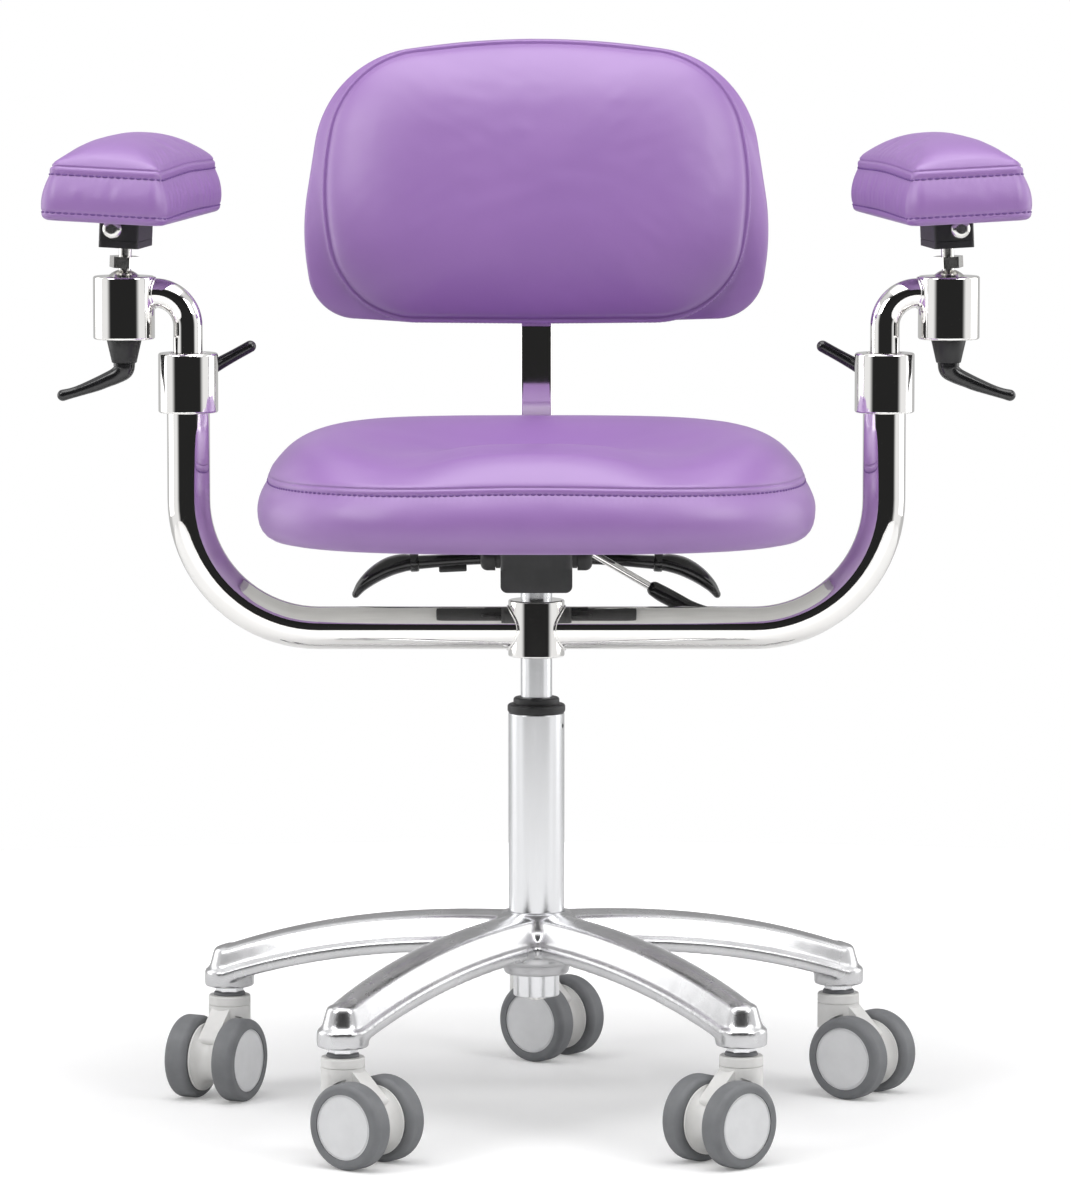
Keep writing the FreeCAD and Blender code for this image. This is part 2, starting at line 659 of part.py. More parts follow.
# Base star
def leg_outline(radius, low=None):
    """Corners of the leg's cross section at a distance from the column."""
    share = radius / CASTOR_CIRCLE_RADIUS
    top = STAR_TOP_Z - LEG_DROP * share ** LEG_CURVE
    low = top - LEG_DEPTH if low is None else low
    foot = (LEG_ROOT_WIDTH + (LEG_TIP_WIDTH - LEG_ROOT_WIDTH) * share) / 2
    ridge = (RIDGE_ROOT_WIDTH + (RIDGE_TIP_WIDTH - RIDGE_ROOT_WIDTH) * share) / 2
    ledge = top - LEG_DEPTH + FLANGE_HEIGHT
    right = [(foot, low, FLANGE_ROUND), (foot, ledge, FLANGE_ROUND),
             (foot - LEG_STEP, ledge + LEG_STEP / 2, STEP_ROUND), (ridge, top - LEG_CROWN, RIDGE_ROUND)]
    return right, top


def leg_section(radius):
    """Closed cross section of the leg, square to its length."""
    right, top = leg_outline(radius)
    left = [(-y, z, corner) for y, z, corner in reversed(right)]
    corners = right + [(0, top, CROWN_ROUND)] + left
    return rounded_wire([(Vector(radius, y, z), corner) for y, z, corner in corners])


def leg_channel(radius):
    """Cross section of the hollow under the leg."""
    right, top = leg_outline(radius)
    foot = right[0][0] - LEG_WALL
    ridge = right[3][0] - LEG_WALL / 2
    low = right[0][1] - LEG_WALL
    roof = top - LEG_CROWN - LEG_WALL
    corners = [(foot, low), (foot, low + FLANGE_HEIGHT), (ridge, roof)]
    corners += [(-y, z) for y, z in reversed(corners)]
    return Part.makePolygon([Vector(radius, y, z) for y, z in corners + corners[:1]])


def leg():
    """One leg along +X with its rounded end over the castor stem."""
    beam = Part.makeLoft([leg_section(CASTOR_CIRCLE_RADIUS * share) for share in LEG_STATIONS], True, False)
    right, top = leg_outline(CASTOR_CIRCLE_RADIUS, LEG_END_Z)
    half = [(0, LEG_END_Z, 0)] + right + [(0, top, 0)]
    cap = turned(half)
    cap.translate(Vector(CASTOR_CIRCLE_RADIUS, 0, 0))
    channel_end = CASTOR_CIRCLE_RADIUS - LEG_TIP_WIDTH / 2
    channel_start = STAR_HUB_DIA / 2
    spots = [channel_start + (channel_end - channel_start) * share for share in CHANNEL_STATIONS]
    channel = Part.makeLoft([leg_channel(r) for r in spots], True, False)
    return beam.cut(channel).fuse(cap)


def base_star():
    """Five legs and the hub with the column's tapered socket and the bores of the castor stems."""
    hub_low = STAR_TOP_Z - STAR_HUB_DEPTH
    hub_radius = STAR_HUB_DIA / 2
    hub = turned(
        [
            (0, STAR_SOCKET_Z, 0),
            (STAR_SOCKET_DIA / 2, STAR_SOCKET_Z, STAR_EDGE_ROUND / 2),
            (STAR_SOCKET_DIA / 2 + STAR_SOCKET_FLARE, hub_low, STAR_EDGE_ROUND),
            (hub_radius, hub_low, STAR_EDGE_ROUND * 2),
            (hub_radius, STAR_TOP_Z - STAR_SHOULDER_DROP, STAR_SHOULDER_ROUND),
            (STAR_NOSE_DIA / 2, STAR_TOP_Z, STAR_EDGE_ROUND),
            (0, STAR_TOP_Z, 0),
        ]
    )
    one_leg = leg()
    legs = []
    bores = []
    for name in CASTOR_NAMES:
        spot = castor_place(name).Base
        turn = math.degrees(math.atan2(spot.y, spot.x))
        legs.append(placed(one_leg, Placement(ORIGIN, Rotation(Z_AXIS, turn))))
        bore_top = LEG_END_Z + STEM_GRIP
        bores.append(upright(STEM_DIA / 2 + PRESS_GAP, LEG_END_Z - OVERCUT, bore_top, spot.x, spot.y))
    star = joined(hub, *legs)
    socket = taper(
        COLUMN_FOOT_DIA / 2 + PRESS_GAP,
        COLUMN_DIA / 2 + PRESS_GAP,
        Vector(0, 0, STAR_SOCKET_Z),
        Vector(0, 0, STAR_TOP_Z),
    )
    return star.cut(Part.makeCompound([socket] + bores))


# Column and gas lift
def column_tube():
    """Outer column with its tapered foot, its floor for the thrust bearing and a small drilled hole."""
    outer = COLUMN_DIA / 2
    foot = COLUMN_FOOT_DIA / 2
    bore = outer - COLUMN_WALL
    foot_bore = foot - COLUMN_WALL
    tube = turned(
        [
            (ROD_DIA / 2 + RUN_FIT, COLUMN_FOOT_Z, 0),
            (foot, COLUMN_FOOT_Z, COLUMN_EDGE),
            (foot, STAR_SOCKET_Z, 0),
            (outer, STAR_TOP_Z, 0),
            (outer, COLUMN_TOP_Z, COLUMN_EDGE),
            (bore, COLUMN_TOP_Z, 0),
            (bore, STAR_TOP_Z, 0),
            (foot_bore, STAR_SOCKET_Z, 0),
            (foot_bore, COLUMN_FLOOR_Z, 0),
            (ROD_DIA / 2 + RUN_FIT, COLUMN_FLOOR_Z, 0),
        ]
    )
    turn = math.radians(COLUMN_HOLE_DEG)
    way = Vector(math.cos(turn), math.sin(turn), 0)
    start = Vector(0, 0, COLUMN_TOP_Z - COLUMN_HOLE_DEPTH)
    return tube.cut(rod(COLUMN_HOLE_DIA / 2, start + way * (bore - OVERCUT), start + way * (outer + OVERCUT)))


def column_bush():
    """Guide bush in the column's top with its two visible rings."""
    bore = LIFT_DIA / 2 + RUN_FIT
    body = COLUMN_DIA / 2 - COLUMN_WALL - PRESS_GAP
    ring = COLUMN_DIA / 2 + BUSH_RING_OVERHANG
    ring_top = COLUMN_TOP_Z + BUSH_RING_HEIGHT
    return turned(
        [
            (bore, COLUMN_TOP_Z - BUSH_LENGTH, 0),
            (body, COLUMN_TOP_Z - BUSH_LENGTH, BUSH_EDGE),
            (body, COLUMN_TOP_Z, 0),
            (ring, COLUMN_TOP_Z, BUSH_ROUND),
            (ring, ring_top, BUSH_ROUND),
            (BUSH_LIP_DIA / 2, ring_top, 0),
            (BUSH_LIP_DIA / 2, BUSH_TOP_Z, BUSH_ROUND),
            (bore, BUSH_TOP_Z, BUSH_EDGE),
        ]
    )


def gas_cylinder():
    """Pressure tube of the gas lift with its end cap, top taper and valve pin."""
    radius = LIFT_DIA / 2
    bore = radius - LIFT_WALL
    low = COLUMN_FLOOR_Z + LIFT_FOOT_ABOVE_FLOOR
    head = LIFT_TAPER_LOW_Z - LIFT_HEAD_BELOW_TAPER
    return turned(
        [
            (ROD_DIA / 2 + RUN_FIT, low, 0),
            (radius, low, LIFT_EDGE),
            (radius, LIFT_TAPER_LOW_Z, 0),
            (TAPER_TOP_DIA / 2, LIFT_TAPER_TOP_Z, LIFT_EDGE),
            (VALVE_DIA / 2, LIFT_TAPER_TOP_Z, 0),
            (VALVE_DIA / 2, LIFT_TAPER_TOP_Z + VALVE_LENGTH, LIFT_EDGE / 2),
            (0, LIFT_TAPER_TOP_Z + VALVE_LENGTH, 0),
            (0, head, 0),
            (bore, head, 0),
            (bore, low + LIFT_END_CAP, 0),
            (ROD_DIA / 2 + RUN_FIT, low + LIFT_END_CAP, 0),
        ]
    )


def lift_rod():
    """Piston rod that stands on the thrust bearing, its piston, the bearing and the clip under the floor."""
    radius = ROD_DIA / 2
    foot = COLUMN_FOOT_Z - CLIP_THICKNESS - 2 * SIDE_PLAY
    top = foot + ROD_LENGTH
    bearing_top = COLUMN_FLOOR_Z + SIDE_PLAY + 2 * BEARING_RACE + BEARING_CAGE
    piston = LIFT_DIA / 2 - LIFT_WALL - RUN_FIT
    body = turned(
        [
            (0, foot - ROD_TAIL, 0),
            (radius, foot - ROD_TAIL, LIFT_EDGE / 2),
            (radius, bearing_top, 0),
            (radius + ROD_COLLAR, bearing_top, 0),
            (radius + ROD_COLLAR, bearing_top + ROD_COLLAR_HEIGHT, LIFT_EDGE),
            (radius, bearing_top + ROD_COLLAR_HEIGHT, 0),
            (radius, top - PISTON_HEIGHT, 0),
            (piston, top - PISTON_HEIGHT, LIFT_EDGE),
            (piston, top, LIFT_EDGE),
            (0, top, 0),
        ]
    )
    solids = [body]
    low = COLUMN_FLOOR_Z + SIDE_PLAY
    for height, inset in ((BEARING_RACE, 0), (BEARING_CAGE, CAGE_INSET), (BEARING_RACE, 0)):
        washer = upright(BEARING_DIA / 2 - inset, low, low + height)
        solids.append(washer.cut(upright(radius + PRESS_GAP, low, low + height)))
        low += height
    clip = upright(CLIP_DIA / 2, foot, foot + CLIP_THICKNESS)
    solids.append(clip.cut(upright(radius + PRESS_GAP, foot, foot + CLIP_THICKNESS)))
    return solids


# Arm frame and the parts on the left arm
def arm_path(start_x):
    """Corners of the left arm tube's centre line from a place near the hub to the collar's top."""
    return [
        (Vector(start_x, 0, ARM_AXIS_Z), 0),
        (Vector(-ARM_X, 0, ARM_AXIS_Z), ARM_BEND_RADIUS),
        (Vector(-ARM_X, 0, COLLAR_TOP_Z), 0),
    ]


def arm_frame():
    """Welded frame: hub sleeve, two bent tubes and the two clamp collars."""
    bore = ARM_TUBE_DIA / 2 - ARM_TUBE_WALL
    radius = COLLAR_DIA / 2
    collar = sleeve(radius, COLLAR_LOW_Z, COLLAR_TOP_Z, COLLAR_ROUND)
    collar.translate(Vector(-ARM_X, 0, 0))
    hub_radius = ARM_HUB_DIA / 2
    hub = sleeve(hub_radius, ARM_HUB_LOW_Z, ARM_HUB_TOP_Z, ARM_HUB_ROUND)
    tube = pipe(arm_path(-LIFT_DIA / 2), ARM_TUBE_DIA / 2)
    hollow = pipe(arm_path(-hub_radius - ARM_TUBE_WALL), bore)
    screw = rod(CLAMP_SCREW_DIA / 2 + RUN_FIT, Vector(-ARM_X, bore - ARM_TUBE_WALL, COLLAR_MID_Z),
                Vector(-ARM_X, radius + OVERCUT, COLLAR_MID_Z))
    side = tube.fuse(collar).cut(hollow).cut(screw)
    frame = joined(hub, side, mirrored(side))
    return frame.cut(upright(LIFT_DIA / 2 + RUN_FIT, ARM_HUB_LOW_Z - OVERCUT, ARM_HUB_TOP_Z + OVERCUT))


def arm_bush():
    """Liner between the upright arm tube and the elbow."""
    outer = ARM_TUBE_DIA / 2 - ARM_TUBE_WALL - RUN_FIT
    inner = ELBOW_DIA / 2 + RUN_FIT
    low = COLLAR_TOP_Z - ARM_BUSH_LENGTH
    high = COLLAR_TOP_Z - COLLAR_ROUND / 2
    return upright(outer, low, high, -ARM_X).cut(upright(inner, low, high, -ARM_X))


def elbow_path(end_x):
    """Corners of the left elbow's centre line from its foot to a place near the sleeve."""
    return [
        (Vector(-ARM_X, 0, ELBOW_FOOT_Z), 0),
        (Vector(-ARM_X, 0, ELBOW_AXIS_Z), ELBOW_BEND_RADIUS),
        (Vector(end_x, 0, ELBOW_AXIS_Z), 0),
    ]


def elbow_arm():
    """Bent tube with the ball sleeve welded to its end, the socket and the clamp screw's thread."""
    outer = SLEEVE_DIA / 2
    seat = BALL_RADIUS + BALL_GAP
    mouth = math.sqrt(seat ** 2 - (BALL_RADIUS - BALL_SHOW) ** 2)
    socket = sleeve(outer, SLEEVE_LOW_Z, SLEEVE_TOP_Z, SLEEVE_ROUND)
    floor = SLEEVE_LOW_Z + SLEEVE_FLOOR
    screw = CLAMP_SCREW_DIA / 2 + RUN_FIT
    centre_z = BALL_CENTRE.z
    slope = math.asin((BALL_RADIUS - BALL_SHOW) / seat) / 2
    high = centre_z + BALL_RADIUS - BALL_SHOW
    over_top = high + OVERCUT
    under = SLEEVE_LOW_Z - OVERCUT
    outline = [Vector(0, 0, over_top), Vector(0, 0, under), Vector(screw, 0, under), Vector(screw, 0, floor),
               Vector(seat, 0, floor), Vector(seat, 0, centre_z)]
    brim = [Vector(mouth, 0, high), Vector(mouth, 0, over_top), outline[0]]
    over = Vector(seat * math.cos(slope), 0, centre_z + seat * math.sin(slope))
    ball_arc = Part.Arc(outline[-1], over, brim[0]).toShape()
    wire = Part.Wire(Part.makePolygon(outline).Edges + [ball_arc] + Part.makePolygon(brim).Edges)
    room = Part.Face(wire).revolve(ORIGIN, Z_AXIS, 360)
    socket.translate(Vector(-SLEEVE_X, 0, 0))
    room.translate(Vector(-SLEEVE_X, 0, 0))
    tube = pipe(elbow_path(-SLEEVE_X + outer / 2), ELBOW_DIA / 2)
    hollow = pipe(elbow_path(-SLEEVE_X + outer), ELBOW_DIA / 2 - ELBOW_WALL)
    return joined(tube, socket).cut(hollow).cut(room)


def pad_lever():
    """Clamp lever under the ball sleeve, its curved handle pointing outwards."""
    top = SLEEVE_LOW_Z - SOFT_GAP
    low = top - CONE_HEIGHT
    cone = taper(CONE_TOP_DIA / 2, CONE_LOW_DIA / 2, Vector(-SLEEVE_X, 0, top), Vector(-SLEEVE_X, 0, low))
    root = Vector(-SLEEVE_X, 0, low - PAD_LEVER_DROP)
    neck = upright(GRIP_ROOT_DIA / 2, root.z, low, -SLEEVE_X)
    knuckle = Part.makeSphere(GRIP_ROOT_DIA / 2, root)
    screw = upright(CLAMP_SCREW_DIA / 2, top, SLEEVE_LOW_Z + CLAMP_SCREW_GRIP, -SLEEVE_X)
    handle = mirrored(lofted_handle(on_side(root, -1), PAD_LEVER_STATIONS))
    return joined(cone, neck, screw, knuckle, handle)


def collar_lever():
    """Clamp lever behind the collar, its straight handle pointing inwards and up."""
    root_radius = GRIP_ROOT_DIA / 2
    tip_radius = GRIP_TIP_DIA / 2
    face = COLLAR_DIA / 2 + SOFT_GAP
    root = Vector(-ARM_X, COLLAR_DIA / 2 + COLLAR_LEVER_STANDOFF, COLLAR_MID_Z)
    rise = math.radians(COLLAR_LEVER_RISE_DEG)
    tip = root + Vector(math.cos(rise), 0, math.sin(rise)) * COLLAR_LEVER_REACH
    boss = taper(CONE_LOW_DIA / 2, root_radius, Vector(-ARM_X, face, COLLAR_MID_Z), root)
    screw_start = ARM_TUBE_DIA / 2 - ARM_TUBE_WALL + SOFT_GAP
    screw = rod(CLAMP_SCREW_DIA / 2, Vector(-ARM_X, screw_start, COLLAR_MID_Z), root)
    ends = [Part.makeSphere(root_radius, root), Part.makeSphere(tip_radius, tip)]
    return joined(boss, screw, taper(root_radius, tip_radius, root, tip), *ends)


# Pieces on the ball, built with the ball's centre at the origin and the stud along +Z
PAD_PLACE = Placement(
    BALL_CENTRE,
    Rotation(Z_AXIS, -PAD_TOE_DEG) * Rotation(X_AXIS, PAD_PITCH_DEG) * Rotation(Y_AXIS, PAD_ROLL_DEG),
)
BLOCK_LOW = BALL_RADIUS + STUD_SHOW
BLOCK_TOP = BLOCK_LOW + BLOCK_HEIGHT


def ball_stud():
    """Ball with its stud and hexagon."""
    nut_low = BALL_RADIUS + NUT_LIFT
    stud = upright(STUD_DIA / 2, 0, BLOCK_LOW + STUD_GRIP - END_PLAY)
    return joined(Part.makeSphere(BALL_RADIUS), stud, hexagon(NUT_AF, nut_low, nut_low + NUT_HEIGHT))


def bolt_axis(depth):
    """Point on the pad bolt's axis, at a depth behind the block's front face."""
    return Vector(-BOLT_SIDE, depth - BLOCK_LENGTH / 2, BLOCK_LOW + BOLT_HEIGHT)


def pad_block():
    """Block between the stud and the pad, with its parting line and the bolt's bore."""
    half_x = BLOCK_WIDTH / 2
    half_y = BLOCK_LENGTH / 2
    corners = [(-half_x, -half_y), (half_x, -half_y), (half_x, half_y), (-half_x, half_y)]
    body = prism([(Vector(x, y, BLOCK_LOW), BLOCK_ROUND) for x, y in corners], Vector(0, 0, BLOCK_HEIGHT))
    line = Vector(0, 0, BLOCK_LOW + BLOCK_LINE_HEIGHT)
    inset = BLOCK_LINE_DEPTH
    outer = Vector(half_x + OVERCUT, half_y + OVERCUT, inset)
    inner = Vector(half_x - inset, half_y - inset, inset)
    groove = block(line - Vector(outer.x, outer.y, 0), line + outer)
    body = body.cut(groove.cut(block(line - Vector(inner.x, inner.y, 0), line + inner)))
    body = body.cut(upright(STUD_DIA / 2 + RUN_FIT, BLOCK_LOW - OVERCUT, BLOCK_LOW + STUD_GRIP))
    return body.cut(rod(BOLT_DIA / 2 + PRESS_GAP, bolt_axis(-OVERCUT), bolt_axis(BOLT_LENGTH + END_PLAY)))


def pad_bolt():
    """Button-head bolt in the block's front face."""
    head = BOLT_HEAD_DIA / 2
    shank = BOLT_DIA / 2
    bolt = turned([(0, -BOLT_LENGTH, 0), (shank, -BOLT_LENGTH, 0), (shank, 0, 0), (head, 0, 0),
                   (head, BOLT_HEAD_HEIGHT, BOLT_CROWN), (0, BOLT_HEAD_HEIGHT, 0)])
    bolt.Placement = Placement(bolt_axis(0), Rotation(X_AXIS, 90))
    return bolt


def pad_outline(rise, draw):
    """Rounded outline of the arm pad at a share of its height, drawn in by a share of its half width."""
    inset = PAD_WIDTH / 2 * draw
    half_x = PAD_WIDTH / 2 - inset
    half_y = PAD_LENGTH / 2 - inset
    corner = min(PAD_CORNER, half_x * PAD_CORNER_LIMIT)
    z = BLOCK_TOP + SOFT_GAP + PAD_HEIGHT * rise
    spots = [(-half_x, -half_y), (half_x, -half_y), (half_x, half_y), (-half_x, half_y)]
    return rounded_wire([(Vector(PAD_SIDE + x, y, z), corner) for x, y in spots])


def arm_pad():
    """Upholstered pad with drawn-in sides and a crowned top."""
    return Part.makeLoft([pad_outline(rise, draw) for rise, draw in PAD_SECTIONS], True, False)


# Seat mechanism
def rounded_box(half_x, front, rear, low, high, corner):
    """Upright box with rounded vertical edges."""
    spots = [(-half_x, front), (half_x, front), (half_x, rear), (-half_x, rear)]
    return prism([(Vector(x, y, low), corner) for x, y in spots], Vector(0, 0, high - low))


def lever_fork(pivot, side):
    """Two cheeks on the housing's side for a hand lever."""
    low = pivot.z - EYE_DIA / 2 - FORK_RIM
    high = min(pivot.z + EYE_DIA / 2 + FORK_RIM, MECH_TOP_Z + FORK_RIM)
    reach = pivot.x + EYE_DIA / 2
    cheeks = []
    for sign in (-1, 1):
        inner = pivot.y + sign * (EYE_WIDTH / 2 + SIDE_PLAY)
        outer = pivot.y + sign * FORK_HALF
        cheek = block(Vector(MECH_HALF, min(inner, outer), low), Vector(reach, max(inner, outer), high))
        cheeks.append(cheek if side > 0 else mirrored(cheek))
    return cheeks


def lever_pins():
    """Pivots of the three hand levers: (pivot on the right side, side)."""
    return [(PADDLE_PIVOT, 1), (PADDLE_PIVOT, -1), (BACK_LEVER_PIVOT, 1)]


def cross_pin(radius, pivot, side):
    """Pin along Y through a lever fork."""
    centre = on_side(pivot, side)
    half = Y_AXIS * (FORK_HALF + PIN_HEAD)
    return rod(radius, centre - half, centre + half)


def mech_housing():
    """Housing with the lift's tapered socket, the pivot bores, the slot for the bar and the lever forks."""
    body = rounded_box(MECH_HALF, -MECH_FRONT, MECH_REAR, MECH_SEAM_Z, MECH_TOP_Z, MECH_ROUND)
    boss = upright(SOCKET_BOSS_DIA / 2, MECH_LOW_Z + COVER_WALL + SIDE_PLAY, MECH_SEAM_Z + OVERCUT)
    cheeks = [cheek for pivot, side in lever_pins() for cheek in lever_fork(pivot, side)]
    body = joined(body, boss, *cheeks)
    wide = LIFT_DIA / 2 + PRESS_GAP
    narrow = TAPER_TOP_DIA / 2 + PRESS_GAP
    socket = taper(wide, narrow, Vector(0, 0, LIFT_TAPER_LOW_Z), Vector(0, 0, LIFT_TAPER_TOP_Z))
    through = upright(TAPER_TOP_DIA / 2, LIFT_TAPER_TOP_Z - OVERCUT, MECH_TOP_Z + OVERCUT)
    lead = upright(wide, MECH_LOW_Z, LIFT_TAPER_LOW_Z)
    slot_front = RECLINE_PIN_REAR - RECLINE_EYE_DIA / 2 - SWING_GAP
    slot_half = BAR_WIDTH / 2 + SIDE_PLAY
    slot = block(Vector(-slot_half, slot_front, MECH_SEAM_Z - OVERCUT),
                 Vector(slot_half, MECH_REAR + OVERCUT, MECH_TOP_Z + OVERCUT))
    across = X_AXIS * (MECH_HALF + OVERCUT)
    tilt = rod(TILT_PIN_DIA / 2 + PRESS_GAP, TILT_PIN - across, TILT_PIN + across)
    recline = rod(TILT_PIN_DIA / 2 + PRESS_GAP, RECLINE_PIN - across, RECLINE_PIN + across)
    bores = [cross_pin(LEVER_PIN_DIA / 2 + PRESS_GAP, pivot, side) for pivot, side in lever_pins()]
    body = body.cut(Part.makeCompound([socket, through, lead])).cut(slot)
    return body.cut(Part.makeCompound([tilt, recline] + bores))


def mech_cover():
    """Tray under the housing with rounded lower edges and the lift's hole."""
    half = MECH_HALF
    outline = [
        (Vector(-half, -MECH_FRONT, MECH_SEAM_Z), 0),
        (Vector(-half, -MECH_FRONT, MECH_LOW_Z), MECH_ROUND),
        (Vector(half, -MECH_FRONT, MECH_LOW_Z), MECH_ROUND),
        (Vector(half, -MECH_FRONT, MECH_SEAM_Z), 0),
    ]
    tray = prism(outline, Vector(0, MECH_FRONT + COVER_REAR, 0))
    floor = MECH_LOW_Z + COVER_WALL
    room = rounded_box(half - COVER_WALL, COVER_WALL - MECH_FRONT, COVER_REAR - COVER_WALL, floor,
                       MECH_SEAM_Z + OVERCUT, COVER_WALL)
    hole = upright(LIFT_DIA / 2 + COVER_HOLE_GAP, MECH_LOW_Z - OVERCUT, floor + OVERCUT)
    return tray.cut(room).cut(hole)


def pivot_pins():
    """Tilt pin with its two end caps, recline pin and the three lever pins."""
    ear_out = MECH_HALF + 2 * SIDE_PLAY + EAR_THICKNESS
    across = X_AXIS * ear_out
    cap_radius = PIN_CAP_DIA / 2
    tilt = rod(TILT_PIN_DIA / 2, TILT_PIN - across, TILT_PIN + across)
    cap = turned([(0, 0, 0), (cap_radius, 0, 0), (cap_radius, PIN_CAP_LENGTH, PIN_CAP_ROUND),
                  (0, PIN_CAP_LENGTH, 0)])
    cap.Placement = Placement(TILT_PIN + across, Rotation(Y_AXIS, 90))
    tilt = joined(tilt, cap, mirrored(cap))
    half = X_AXIS * MECH_HALF
    recline = rod(TILT_PIN_DIA / 2, RECLINE_PIN - half, RECLINE_PIN + half)
    return [tilt, recline] + [cross_pin(LEVER_PIN_DIA / 2, pivot, side) for pivot, side in lever_pins()]


def seat_plate():
    """Pressed plate under the seat with its two ears on the tilt pin."""
    low = PLATE_LOW_Z
    plate = rounded_box(PLATE_WIDTH / 2, -PLATE_FRONT, PLATE_REAR, low, SEAT_LOW_Z, PLATE_CORNER)
    ears = []
    for side in (-1, 1):
        inner = MECH_HALF + SIDE_PLAY
        start = Vector(side * inner, TILT_PIN.y, TILT_PIN.z)
        way = X_AXIS * (side * EAR_THICKNESS)
        disc = rod(EAR_WIDTH / 2, start, start + way)
        near = min(start.x, start.x + way.x)
        strap = block(Vector(near, TILT_PIN.y - EAR_WIDTH / 2, TILT_PIN.z),
                      Vector(near + EAR_THICKNESS, TILT_PIN.y + EAR_WIDTH / 2, low + PLATE_THICKNESS / 2))
        ears += [disc, strap]
    plate = joined(plate, *ears)
    across = X_AXIS * (MECH_HALF + EAR_THICKNESS * 2)
    return plate.cut(rod(TILT_PIN_DIA / 2 + RUN_FIT, TILT_PIN - across, TILT_PIN + across))


def paddle_lever():
    """Hand lever on the right side: eye, stem, ring and paddle."""
    half = Y_AXIS * (EYE_WIDTH / 2)
    eye = rod(EYE_DIA / 2, PADDLE_PIVOT - half, PADDLE_PIVOT + half)
    ring_spot = PADDLE_PIVOT + Vector(STEM_RUN, 0, -STEM_FALL)
    way = unit(ring_spot - PADDLE_PIVOT)
    stem = rod(STEM_ROD_DIA / 2, PADDLE_PIVOT, ring_spot)
    ring = rod(RING_DIA / 2, ring_spot, ring_spot + way * RING_WIDTH)
    paddle = lofted_handle(ring_spot, PADDLE_STATIONS)
    lever = joined(eye, stem, ring, paddle)
    return lever.cut(rod(LEVER_PIN_DIA / 2 + RUN_FIT, PADDLE_PIVOT - half * 2, PADDLE_PIVOT + half * 2))


def tilt_lever():
    """Left hand lever: the mirrored paddle with a small stop tab under its stem."""
    start = PADDLE_PIVOT + Vector(TAB_START, -TAB_THICKNESS / 2, -TAB_DROP)
    tab = block(start, start + Vector(TAB_LENGTH, TAB_THICKNESS, TAB_DROP))
    return mirrored(joined(paddle_lever(), tab))


def back_lever():
    """Recline lever: bright rod with its eye, and the grip pushed over the rod's end."""
    half = Y_AXIS * (EYE_WIDTH / 2)
    slope = math.radians(BACK_LEVER_SLOPE_DEG)
    way = Vector(math.cos(slope), 0, -math.sin(slope))
    root = BACK_LEVER_PIVOT + way * BACK_LEVER_ROD_LENGTH
    rod_end = root + way * BACK_GRIP_OVERLAP
    shaft = rod(BACK_LEVER_ROD_DIA / 2, BACK_LEVER_PIVOT, rod_end)
    eye = rod(EYE_DIA / 2, BACK_LEVER_PIVOT - half, BACK_LEVER_PIVOT + half)
    bore = rod(LEVER_PIN_DIA / 2 + RUN_FIT, BACK_LEVER_PIVOT - half * 2, BACK_LEVER_PIVOT + half * 2)
    grip = lofted_handle(root, BACK_GRIP_STATIONS)
    grip = grip.cut(rod(BACK_LEVER_ROD_DIA / 2 + PRESS_GAP, BACK_LEVER_PIVOT, rod_end + way * PRESS_GAP))
    return [joined(shaft, eye).cut(bore), grip]


# Seat
def seat_outline(z, inset):
    """Rounded outline of the seat at a height, drawn in by an inset."""
    half_x = SEAT_WIDTH / 2 - inset
    half_y = SEAT_DEPTH / 2 - inset
    shrink = half_y / (SEAT_DEPTH / 2)
    bow = SEAT_BOW * shrink
    right = [
        (0, -half_y, SEAT_BOW_RADIUS),
        (half_x, bow - half_y, SEAT_FRONT_CORNER),
        (half_x, half_y - bow, SEAT_REAR_CORNER),
        (0, half_y, SEAT_BOW_RADIUS),
    ]
    left = [(-x, y, corner) for x, y, corner in reversed(right[1:-1])]
    return rounded_wire([(Vector(x, y, z), corner * shrink) for x, y, corner in right + left])


def seat_cushion():
    """Upholstered seat: drawn-in sides, crowned edge, bowl and two thigh hollows, over the board's pocket."""
    half = SEAT_DEPTH / 2
    sections = [seat_outline(SEAT_LOW_Z + SEAT_HEIGHT * rise, half * draw) for rise, draw in SEAT_SECTIONS]
    body = Part.makeLoft(sections, True, False)
    bowl = Part.makeSphere(BOWL_RADIUS, Vector(0, BOWL_REAR, SEAT_TOP_Z - BOWL_DEPTH + BOWL_RADIUS))
    body = body.cut(bowl)
    fall = Vector(0, THIGH_LENGTH, THIGH_DEPTH)
    for side in (-1, 1):
        start = Vector(side * THIGH_SPACING / 2, -SEAT_DEPTH / 2, SEAT_TOP_Z - THIGH_DEPTH + THIGH_RADIUS)
        body = body.cut(rod(THIGH_RADIUS, start - fall * 0.5, start + fall * 1.5))
    pocket = Part.Face(seat_outline(SEAT_LOW_Z - OVERCUT, BOARD_INSET - SOFT_GAP))
    return body.cut(pocket.extrude(Z_AXIS * (BOARD_THICKNESS + SOFT_GAP + OVERCUT)))


def seat_board():
    """Plywood board in the seat's base."""
    return Part.Face(seat_outline(SEAT_LOW_Z, BOARD_INSET)).extrude(Z_AXIS * BOARD_THICKNESS)


# Back
BACK_TURN = Rotation(X_AXIS, -BAR_LEAN_DEG)
BACK_AXIS = BACK_TURN.multVec(Z_AXIS)


def leaned(shape):
    """Turns an upright piece of the back by the bar's lean."""
    shape.rotate(LEAN_CORNER, X_AXIS, -BAR_LEAN_DEG)
    return shape


